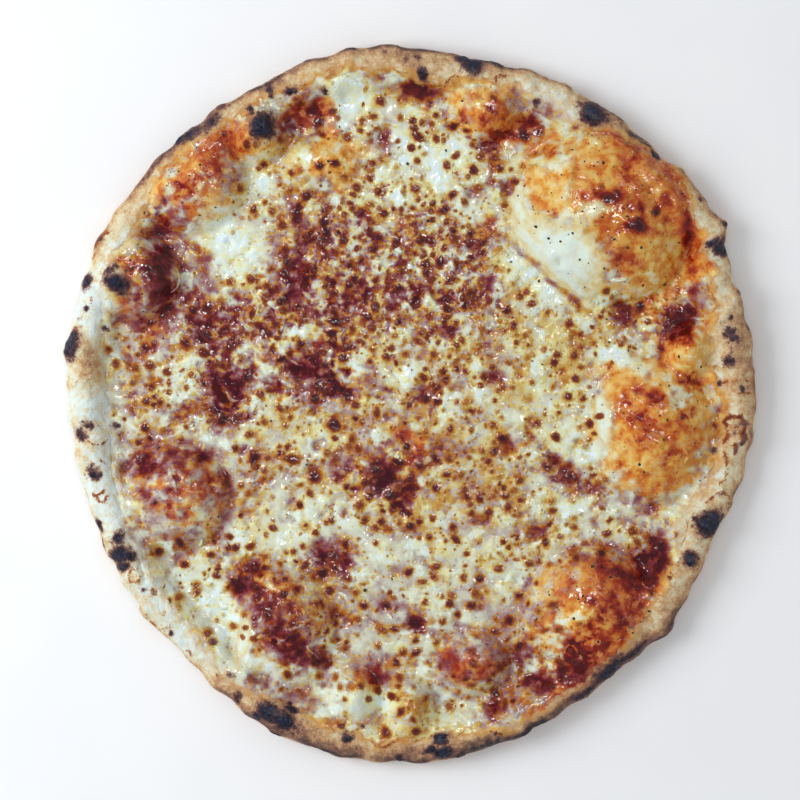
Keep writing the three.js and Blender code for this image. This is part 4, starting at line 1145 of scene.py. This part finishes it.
def makeSpots(spots):
    spec = browning
    random = np.random.default_rng(spec["seed"] + 1)
    x, y, size, strength = spots.T
    count = len(x)
    n = spec["corners"]
    angle = np.arange(n) * 2 * np.pi / n
    stretch = 1 + 0.3 * random.random(count) ** 2
    lean = random.uniform(0, np.pi, count)
    points = [np.stack([x, y], 1)]
    value = [strength]
    amber = [np.ones(count)]
    lift = [np.full(count, 1.0)]
    uneven = 1 + 0.12 * random.standard_normal((n, count))
    for share, darkness, ring in spec["rings"]:
        for k in range(n):
            wobble = size * share * (uneven[k] if 0.5 < share < 1.5 else 1)
            dx = wobble * np.cos(angle[k]) * stretch
            dy = wobble * np.sin(angle[k]) / stretch
            px = x + dx * np.cos(lean) - dy * np.sin(lean)
            py = y + dx * np.sin(lean) + dy * np.cos(lean)
            points.append(np.stack([px, py], 1))
            value.append(strength * darkness)
            amber.append(np.clip(ring * (0.45 + 0.7 * strength), 0, 1))
            lift.append(np.full(count, max(0.0, 1 - (share / 1.15) ** 2)))
    flat = np.stack(points, 1).reshape(-1, 2)
    lift = np.stack(lift, 1)
    total = 1 + n * len(spec["rings"])  # points of one spot
    # the outermost ring lies a little under the cheese
    outer = np.zeros((count, total), bool)
    outer[:, -n:] = True
    high = cheeseTop(flat[:, 0], flat[:, 1])
    high = high + 0.09 + spec["rise"] * (lift * size[:, None]).ravel() - 0.15 * outer.ravel()
    marks = toppingLook(flat[:, 0], flat[:, 1])
    marks["halo"] = np.stack(amber, 1).ravel()
    marks["spot"] = np.stack(value, 1).ravel()
    k = np.arange(n)
    j = (k + 1) % n
    one = [np.stack([np.zeros(n, int), 1 + k, 1 + j], 1)]
    for ring in range(len(spec["rings"]) - 1):
        a = 1 + ring * n
        b = a + n
        one.append(np.stack([a + k, b + k, b + j], 1))
        one.append(np.stack([a + k, b + j, a + j], 1))
    one = np.concatenate(one)
    faces = (one[None] + (np.arange(count) * total)[:, None, None]).reshape(-1, 3)
    return addMesh("browned_spots", np.concatenate([flat, high[:, None]], 1), faces, marks)


strands = {
    "seed": 11,
    "tries": 900,
    "most": 62,
    "lengths": (5, 15),  # in mm
    "widths": (0.8, 1.7),  # half width in mm
    "bend": 0.34,  # radians in each mm
    "flatness": 0.26,  # thickness for each mm of width
    "whiteness": 0.42,
    "reach": 143,  # mm from the middle
    "corners": 6,
    # where stringy white cheese lies on the sauce: centre, half sizes, turn, amount
    "where": [
        (-84, 8, 18, 22, 0, 1.0), (-25, 58, 46, 36, 8, 0.4), (-60, 26, 26, 20, 0, 0.8),
        (115, 42, 14, 16, 0, 0.5), (-104, -42, 18, 20, 0, 0.5), (-50, -108, 16, 16, 0, 0.6),
        (-8, -38, 12, 12, 0, 0.9), (109, -66, 8, 14, 0, 0.6), (124, -10, 12, 22, 0, 0.5),
        (60, -116, 20, 8, 30, 0.4), (-34, -70, 12, 8, 0, 0.6), (-60, -90, 18, 16, 0, 1.0),
        (36, 122, 22, 10, 0, 0.6), (-112, 30, 14, 20, 0, 0.6), (20, 30, 30, 20, 0, 0.3),
        (-100, 97, 14, 12, 0, 0.8), (104, 60, 14, 14, 0, 0.6), (84, 104, 16, 10, 0, 0.6),
        (104, -84, 8, 14, -20, 0.5),
    ],
}


def makeStrands():
    spec = strands
    random = np.random.default_rng(spec["seed"])
    points = []
    faces = []
    value = []
    made = 0
    ring = spec["corners"]
    around = np.arange(ring) * 2 * np.pi / ring
    for _ in range(spec["tries"]):
        x, y = random.uniform(-140, 140, 2)
        dice = random.random()
        heading = random.uniform(0, 2 * np.pi)
        turning = spec["bend"] * random.standard_normal()
        length = random.integers(*spec["lengths"])
        width = random.uniform(*spec["widths"])
        wanted = paint(np.array([x]), np.array([y]), spec["where"])[0]
        if dice > wanted or made >= spec["most"]:
            continue
        path = []
        for _ in range(length):
            path.append((x, y, heading))
            x += math.cos(heading)
            y += math.sin(heading)
            heading += turning + 0.2 * random.standard_normal()
        path = np.array(path)
        if np.hypot(path[:, 0], path[:, 1]).max() > spec["reach"]:
            continue
        taper = np.sin(np.pi * (np.arange(length) + 0.6) / (length + 0.2)) ** 0.6
        height = cheeseTop(path[:, 0], path[:, 1])
        height = np.convolve(np.pad(height, 1, mode="edge"), [0.25, 0.5, 0.25], mode="valid") + 0.12
        side = np.stack([-np.sin(path[:, 2]), np.cos(path[:, 2])], 1)
        first = sum(len(p) for p in points)
        tube = []
        for a in around:
            across = (width * taper * math.cos(a))[:, None] * side
            up = height - 0.16 + spec["flatness"] * width * taper * math.sin(a)
            tube.append(np.concatenate([path[:, :2] + across, up[:, None]], 1))
        tube = np.stack(tube, 1).reshape(-1, 3)
        ends = np.array([[*path[0, :2], height[0]], [*path[-1, :2], height[-1]]])
        points.append(tube)
        points.append(ends)
        k, c = np.meshgrid(np.arange(length - 1), np.arange(ring), indexing="ij")
        a = first + (k * ring + c).ravel()
        b = first + (k * ring + (c + 1) % ring).ravel()
        faces.append(np.stack([a, a + ring, b + ring], 1))
        faces.append(np.stack([a, b + ring, b], 1))
        c = np.arange(ring)
        start = first + length * ring
        tail = first + (length - 1) * ring
        faces.append(np.stack([np.full(ring, start), first + c, first + (c + 1) % ring], 1))
        faces.append(np.stack([np.full(ring, start + 1), tail + (c + 1) % ring, tail + c], 1))
        show = spec["whiteness"] * taper[:, None] * np.clip(np.sin(around), 0, 1) ** 0.7
        value.append(np.concatenate([(show * random.uniform(0.6, 1.0)).ravel(), [0, 0]]))
        made += 1
    points = np.concatenate(points)
    value = np.concatenate(value)
    marks = toppingLook(points[:, 0], points[:, 1])
    for label, wanted in (("body", 0.95), ("warmth", 0.1), ("orange", 0), ("stir", 0.3)):
        marks[label] = marks[label] * (1 - value) + wanted * value
    return addMesh("cheese_strands", points, np.concatenate(faces)[:, ::-1], marks)


flecks = {
    "seed": 5,
    "tries": 5200,
    "least": 0.2,  # radius in mm
    "most": 0.58,
    "stretch": (0.5, 1.8),  # of a grain, along each axis
    "uneven": (0.75, 1.25),  # of each corner
    "colors": [(20, 20, 18), (52, 44, 30)],
    # how many there are: centre, half sizes, turn, amount
    "where": [
        (95, 84, 36, 34, 0, 0.7), (117, 98, 7, 11, 20, 0.7), (108, -10, 26, 32, 0, 0.4),
        (82, -94, 28, 24, 40, 0.85), (30, -118, 20, 12, 0, 0.3), (-95, 97, 24, 18, 30, 0.4),
        (-115, 60, 20, 22, 0, 0.4), (-104, -42, 24, 24, 0, 0.3), (0, 0, 150, 150, 0, 0.035),
        (36, 130, 20, 14, 0, 0.3), (-55, 125, 24, 12, 0, 0.25),
    ],
}


def makeFlecks():
    # dried herb and pepper, as small uneven grains
    spec = flecks
    random = np.random.default_rng(spec["seed"])
    x = random.uniform(-145, 145, spec["tries"])
    y = random.uniform(-145, 145, spec["tries"])
    wanted = paint(x, y, spec["where"], warp=3, seed=231)
    degrees, inset = polar(x, y)
    ok = (random.random(spec["tries"]) < wanted) & (inset > bareAt(degrees) - 2)
    x, y = x[ok], y[ok]
    count = len(x)
    size = spec["least"] + (spec["most"] - spec["least"]) * random.random(count) ** 2
    z = cheeseTop(x, y)
    shape = bmesh.new()
    bmesh.ops.create_icosphere(shape, subdivisions=1, radius=1)
    corners = np.array([v.co[:] for v in shape.verts])
    sides = np.array([[v.index for v in f.verts] for f in shape.faces])
    shape.free()
    scale = size[:, None, None] * random.uniform(*spec["stretch"], (count, 1, 3))
    scale = scale * random.uniform(*spec["uneven"], (count, len(corners), 1))
    points = corners[None] * scale
    points[:, :, 2] *= 0.6
    points = points + np.stack([x, y, z + 0.12], 1)[:, None, :]
    faces = (sides[None] + (np.arange(count) * len(corners))[:, None, None]).reshape(-1, 3)
    return addMesh("herb_flecks", points.reshape(-1, 3), faces)


# colours as a position on a scale and red, green, blue from 0 to 255
foodColors = {
    # the topping, from deep sauce to thick cheese: milky, oily, and orange as on the bubbles
    "milky": [
        (0.0, 66, 6, 22), (0.15, 90, 14, 30), (0.3, 120, 38, 48), (0.45, 146, 86, 92),
        (0.6, 174, 150, 148), (0.72, 204, 200, 184), (0.86, 226, 231, 206), (1.0, 226, 241, 243),
    ],
    "oily": [
        (0.0, 50, 5, 6), (0.15, 94, 18, 8), (0.3, 138, 52, 14), (0.45, 176, 100, 24),
        (0.6, 198, 150, 64), (0.72, 214, 189, 112), (0.86, 229, 222, 156), (1.0, 233, 238, 200),
    ],
    "orange": [
        (0.0, 80, 6, 8), (0.15, 116, 16, 10), (0.3, 156, 42, 16), (0.45, 190, 84, 24),
        (0.6, 213, 128, 44), (0.72, 227, 164, 68), (0.86, 235, 198, 114), (1.0, 236, 228, 194),
    ],
    # bare dough on the bubbles, its palest end also painted light on their lit faces
    "creamAndLitSide": [(0.2, 206, 170, 104), (0.5, 222, 204, 152), (0.8, 226, 228, 198), (1.0, 224, 236, 224)],
    "net": (222, 168, 116),
    # browned spots, from amber to nearly black
    "fried": [
        (0.1, 190, 131, 50), (0.35, 154, 82, 30), (0.58, 122, 50, 28), (0.8, 96, 30, 27), (1.0, 66, 18, 28),
    ],
    # dough, from floury white, also the painted light on the rim's left side, over tan to dark brown
    "baked": [
        (0.0, 220, 232, 228), (0.15, 222, 216, 186), (0.32, 214, 186, 140), (0.48, 192, 148, 106),
        (0.62, 152, 112, 86), (0.76, 106, 78, 68), (0.9, 60, 48, 54), (1.0, 34, 32, 46),
    ],
    "oiled": [(0.3, 150, 76, 34), (0.45, 192, 128, 58), (0.58, 212, 168, 94), (0.72, 220, 200, 144)],
    "toasted": [(0.15, 204, 160, 92), (0.45, 160, 92, 44), (0.75, 118, 48, 26), (1.0, 88, 26, 22)],
    "under": [(0.3, 96, 60, 38), (0.5, 176, 128, 80), (0.7, 216, 178, 128)],
    "scorched": [(0.15, 176, 132, 100), (0.38, 118, 76, 66), (0.58, 66, 42, 50), (0.8, 22, 22, 38)],
    "charSheen": (34, 42, 84),
}


def scorch(tree, place, base, char, blisters):
    # turns a colour brown and then blue-black with growing char, with a painted blue sheen on the deepest
    # char
    middle = grain(tree, place, 3.0, 3)
    charShare = vary(tree, char, grain(tree, place, 0.8, 3), 0.09)
    charShare = vary(tree, charShare, middle, 0.08)
    charShare = calc(tree, "ADD", charShare, between(tree, blisters, 0.15, 0.6, 0.07, -0.09))
    scorched = ramp(tree, charShare, foodColors["scorched"])
    sheen = between(tree, middle, 0.46, 0.64, 0.0, 0.7)
    sheen = blend(tree, sheen, scorched, tone(*foodColors["charSheen"]))
    scorched = blend(tree, between(tree, char, 0.75, 0.95), scorched, sheen)
    share = calc(tree, "MULTIPLY", between(tree, charShare, 0.06, 0.5), between(tree, char, 0.0, 0.12))
    return blend(tree, share, base, scorched)


def doughColor(tree, place, broad, fine, depth):
    # baked dough with an amber line of oil along the topping and brown on the wrinkles
    crumb = grain(tree, place, 3.5, 4)
    bake = vary(tree, vary(tree, mark(tree, "bake"), crumb, 0.11), fine, 0.07)
    base = ramp(tree, bake, foodColors["baked"])
    streaks = calc(tree, "ADD", calc(tree, "MULTIPLY", broad, 0.5), calc(tree, "MULTIPLY", crumb, 0.5))
    oilShare = calc(tree, "MULTIPLY", between(tree, depth, -2.2, 0.6), mark(tree, "oil"))
    base = blend(tree, oilShare, base, ramp(tree, streaks, foodColors["oiled"]))
    toast = vary(tree, mark(tree, "toast"), fine, 0.14)
    toast = calc(tree, "ADD", toast, between(tree, crumb, 0.35, 0.65, -0.2, 0.1))
    toasted = ramp(tree, toast, foodColors["toasted"])
    return blend(tree, between(tree, toast, 0.1, 0.5), base, toasted)


def toppingColor(tree, place, broad, middle, fine):
    # colour of sauce and cheese, with the masks that the bump uses
    spot = mark(tree, "spot")
    halo = mark(tree, "halo")
    creamAndLitSide = mark(tree, "creamAndLitSide")
    orange = mark(tree, "orange")
    stir = mark(tree, "stir")
    # some of the cells have a small pit in the middle
    pits = cells(tree, place, 2.5)
    pitChosen = between(tree, pits["Color"], 0.56, 0.66)
    pit = calc(tree, "MULTIPLY", between(tree, pits["Distance"], 0.34, 0.12), pitChosen)
    # white strings and lumps in the cheese
    swirl = calc(tree, "ABSOLUTE", calc(tree, "SUBTRACT", grain(tree, place, 15, 1, 0.4, 1.8), 0.5))
    swirl = vary(tree, swirl, fine, 0.02)
    plain = calc(tree, "SUBTRACT", 1.0, calc(tree, "MAXIMUM", orange, creamAndLitSide))
    wisp = calc(tree, "MULTIPLY", between(tree, swirl, 0.09, 0.02), between(tree, broad, 0.48, 0.56))
    lump = between(tree, grain(tree, place, 9.5, 1, 0.5, 0.6), 0.60, 0.70)
    wisp = calc(tree, "MULTIPLY", calc(tree, "MAXIMUM", calc(tree, "MULTIPLY", wisp, 0.6), lump), plain)
    # how much cheese there is
    stirred = calc(tree, "MULTIPLY", between(tree, middle, 0.3, 0.7, -0.3, 0.3), stir)
    body = vary(tree, calc(tree, "ADD", mark(tree, "body"), stirred), fine, 0.025)
    body = calc(tree, "SUBTRACT", body, calc(tree, "MULTIPLY", pit, 0.14))
    body = calc(tree, "ADD", body, calc(tree, "MULTIPLY", wisp, 0.18))
    body = calc(tree, "SUBTRACT", body, calc(tree, "MULTIPLY", between(tree, halo, 0.0, 0.9), 0.15))
    # how oily it is: thin cheese more than thick
    warm = vary(tree, mark(tree, "warmth"), broad, 0.55)
    flecked = between(tree, grain(tree, place, 2.2, 2), 0.34, 0.66, -0.9, 0.9)
    warm = calc(tree, "ADD", warm, calc(tree, "MULTIPLY", flecked, calc(tree, "ADD", stir, 0.35)))
    warm = calc(tree, "SUBTRACT", warm, calc(tree, "MULTIPLY", stirred, 1.4))
    thin = between(tree, body, 0.8, 0.6, 0.0, 0.28)
    warm = calc(tree, "ADD", warm, calc(tree, "MULTIPLY", thin, between(tree, stir, 0.9, 0.35)))
    warm = calc(tree, "ADD", warm, calc(tree, "MULTIPLY", pit, 0.8))
    warm = calc(tree, "SUBTRACT", warm, calc(tree, "MULTIPLY", wisp, 0.4))
    warm = calc(tree, "ADD", warm, calc(tree, "MULTIPLY", halo, 0.95), clamp=True)
    base = blend(tree, warm, ramp(tree, body, foodColors["milky"]), ramp(tree, body, foodColors["oily"]))
    redShare = calc(tree, "SUBTRACT", vary(tree, orange, broad, 0.25), stirred)
    base = blend(tree, between(tree, redShare, 0.15, 0.8), base, ramp(tree, body, foodColors["orange"]))
    # bare dough, and painted light on the bubbles' lit faces
    pale = ramp(tree, vary(tree, creamAndLitSide, middle, 0.18), foodColors["creamAndLitSide"])
    base = blend(tree, between(tree, vary(tree, creamAndLitSide, middle, 0.1), 0.2, 0.6), base, pale)
    # pale net on the thin orange parts
    drift = node(tree, "ShaderNodeTexNoise", {"Vector": place, "Scale": 1 / (2 * mm), "Detail": 2.0})
    push = {0: drift.outputs["Color"], 1: (3 * mm, 3 * mm, 3 * mm), 2: place}
    moved = node(tree, "ShaderNodeVectorMath", push, operation="MULTIPLY_ADD").outputs[0]
    net = cells(tree, moved, 2.6, feature="DISTANCE_TO_EDGE")["Distance"]
    netShare = calc(tree, "MULTIPLY", between(tree, net, 0.14, 0.0), between(tree, broad, 0.47, 0.58))
    film = calc(tree, "MULTIPLY", orange, between(tree, body, 0.25, 0.5, 0.0, 0.6))
    base = blend(tree, calc(tree, "MULTIPLY", netShare, film), base, tone(*foodColors["net"]))
    # fried spots
    browned = vary(tree, spot, fine, 0.09)
    browned = calc(tree, "ADD", browned, between(tree, body, 0.15, 0.6, 0.4, 0.0))
    fried = ramp(tree, browned, foodColors["fried"])
    friedShare = calc(tree, "MULTIPLY", spot, between(tree, fine, 0.3, 0.7, 0.7, 1.3))
    return blend(tree, between(tree, friedShare, 0.04, 0.38), base, fried), pit, wisp


def foodFinish(name, gloss, shine, softness):
    # one look for dough and topping, so that no seam shows where the topping runs out on the rim
    material, tree, shader, place = newFinish(name)
    char = mark(tree, "char")
    broad = grain(tree, place, 8, 3)
    middle = grain(tree, place, 4.4, 2, 0.5, 0.3)
    fine = grain(tree, place, 0.9, 2)
    topped, pit, wisp = toppingColor(tree, place, broad, middle, fine)
    depth = vary(tree, mark(tree, "stain"), middle, 1.6)
    covered = between(tree, depth, 0.4, 2.6)
    base = blend(tree, covered, doughColor(tree, place, broad, fine, depth), topped)
    underColor = ramp(tree, middle, foodColors["under"])
    base = blend(tree, calc(tree, "MULTIPLY", mark(tree, "under"), 0.9), base, underColor)
    blisters = cells(tree, place, 2.8)["Distance"]
    tree.links.new(scorch(tree, place, base, char, blisters), shader.inputs["Base Color"])
    wet = between(tree, broad, 0.4, 0.6, gloss, gloss + 0.06)
    dry = between(tree, char, 0, 1, 0.7, 0.45)
    wetShare = calc(tree, "MULTIPLY", covered, between(tree, char, 0.5, 0.2))
    roughness = node(tree, "ShaderNodeMix", {0: wetShare, 2: dry, 3: wet}, data_type="FLOAT").outputs[0]
    tree.links.new(roughness, shader.inputs["Roughness"])
    shader.inputs["Specular IOR Level"].default_value = shine
    shader.inputs["Subsurface Weight"].default_value = softness
    shader.inputs["Subsurface Radius"].default_value = (0.002, 0.0012, 0.0006)
    shader.inputs["Subsurface Scale"].default_value = 1.0
    rough = bump(tree, middle, 0.6, 0.9)
    crumbShare = between(tree, covered, 0.0, 1.0, 1.0, 0.15)
    crumbs = calc(tree, "MULTIPLY", grain(tree, place, 0.8, 4), crumbShare)
    rough = bump(tree, crumbs, 0.55, 0.35, rough)
    rough = bump(tree, grain(tree, place, 2.0, 1), 0.25, 0.35, rough)
    rough = bump(tree, calc(tree, "SUBTRACT", 1.0, pit), 0.5, 0.3, rough)
    rough = bump(tree, wisp, 0.4, 0.3, rough)
    burst = calc(tree, "MULTIPLY", between(tree, blisters, 0.6, 0.1), between(tree, char, 0.35, 0.8))
    rough = bump(tree, burst, 0.7, 1.0, rough)
    tree.links.new(rough, shader.inputs["Normal"])
    return material


def herbFinish():
    material, tree, shader, place = newFinish("driedHerb")
    dark, light = flecks["colors"]
    share = between(tree, grain(tree, place, 1.5, 2), 0.35, 0.65)
    tree.links.new(blend(tree, share, tone(*dark), tone(*light)), shader.inputs["Base Color"])
    shader.inputs["Roughness"].default_value = 0.6
    tree.links.new(bump(tree, grain(tree, place, 0.3, 2), 0.4, 0.1), shader.inputs["Normal"])
    return material


def settle(piece, material, replaced=None):
    piece.data.materials.append(material)
    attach(piece, "root")
    if replaced:
        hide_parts(replaced)
    print(piece.name, len(piece.data.polygons), "triangles")


cheeseMaterial = foodFinish("meltedCheese", *topping["cheeseFinish"])
settle(makeCrust(), foodFinish("bakedDough", *crustPiece["finish"]), "crust")
settle(makeSauce(), foodFinish("cookedSauce", *topping["sauceFinish"]), "tomato_sauce")
spotList = placeSpots()
print(len(spotList), "browned spots placed")
settle(makeCheese(spotList), cheeseMaterial, "mozzarella")
settle(makeSpots(spotList), cheeseMaterial)
settle(makeStrands(), cheeseMaterial)
settle(makeFlecks(), herbFinish())


studio = {
    "worldStrength": 0.56,
    "worldColor": (0.97, 0.98, 1.0, 1),
    # lights: name, place, size, power, colour
    "window": ("windowLight", (-0.95, 0.15, 0.8), 0.7, 10.2, (0.93, 0.97, 1.0)),
    # small ones that are only seen as glints
    "sparkles": [
        ("sparkleLight", (-0.35, 0.55, 1.0), 0.07, 6.5, (1, 1, 1)),
        ("secondSparkle", (0.45, 0.25, 1.0), 0.07, 3.9, (1, 1, 1)),
    ],
    "floorColors": [(253, 253, 253), (251, 251, 252)],
    "cameraHeight": 1.5,
    "focusHeight": 0.006,
    "field": 0.36,  # width of the view at that height
    "centre": (-4.05, 1.6),  # of the view, in mm
}


def addLight(name, place, size, power, color):
    lamp = bpy.data.lights.new(name, "AREA")
    lamp.size = size
    lamp.energy = power
    lamp.color = color
    holder = bpy.data.objects.new(name, lamp)
    holder.location = place
    holder.rotation_euler = Vector(place).to_track_quat("Z", "Y").to_euler()  # shines at the middle
    bpy.context.scene.collection.objects.link(holder)
    return holder


def makeStudio():
    scene = bpy.context.scene
    bpy.ops.mesh.primitive_plane_add(size=6, location=(0, 0, -0.0003))
    floor = bpy.context.object
    floor.name = "studio_floor"
    material, tree, shader, place = newFinish("palePaper")
    shade = between(tree, grain(tree, place, 60, 2), 0.3, 0.7)
    first, second = studio["floorColors"]
    tree.links.new(blend(tree, shade, tone(*first), tone(*second)), shader.inputs["Base Color"])
    shader.inputs["Roughness"].default_value = 0.9
    shader.inputs["Specular IOR Level"].default_value = 0.1
    floor.data.materials.append(material)
    world = bpy.data.worlds.new("softStudio")
    world.use_nodes = True
    background = world.node_tree.nodes["Background"]
    background.inputs["Color"].default_value = studio["worldColor"]
    background.inputs["Strength"].default_value = studio["worldStrength"]
    scene.world = world
    addLight(*studio["window"]).visible_glossy = False
    for sparkle in studio["sparkles"]:
        addLight(*sparkle).visible_diffuse = False
    camera = bpy.data.cameras.new("overhead")
    holder = bpy.data.objects.new("overhead", camera)
    scene.collection.objects.link(holder)
    x = (studio["centre"][0] + planShift[0]) * mm
    y = (studio["centre"][1] + planShift[1]) * mm
    holder.location = (x, y, studio["cameraHeight"])
    camera.sensor_width = 36
    away = studio["cameraHeight"] - studio["focusHeight"]
    camera.lens = camera.sensor_width * away / studio["field"]
    camera.clip_end = 20
    scene.camera = holder
    scene.view_settings.view_transform = "Standard"
    scene.view_settings.look = "None"
    print("studio floor, lights and camera set")


makeStudio()
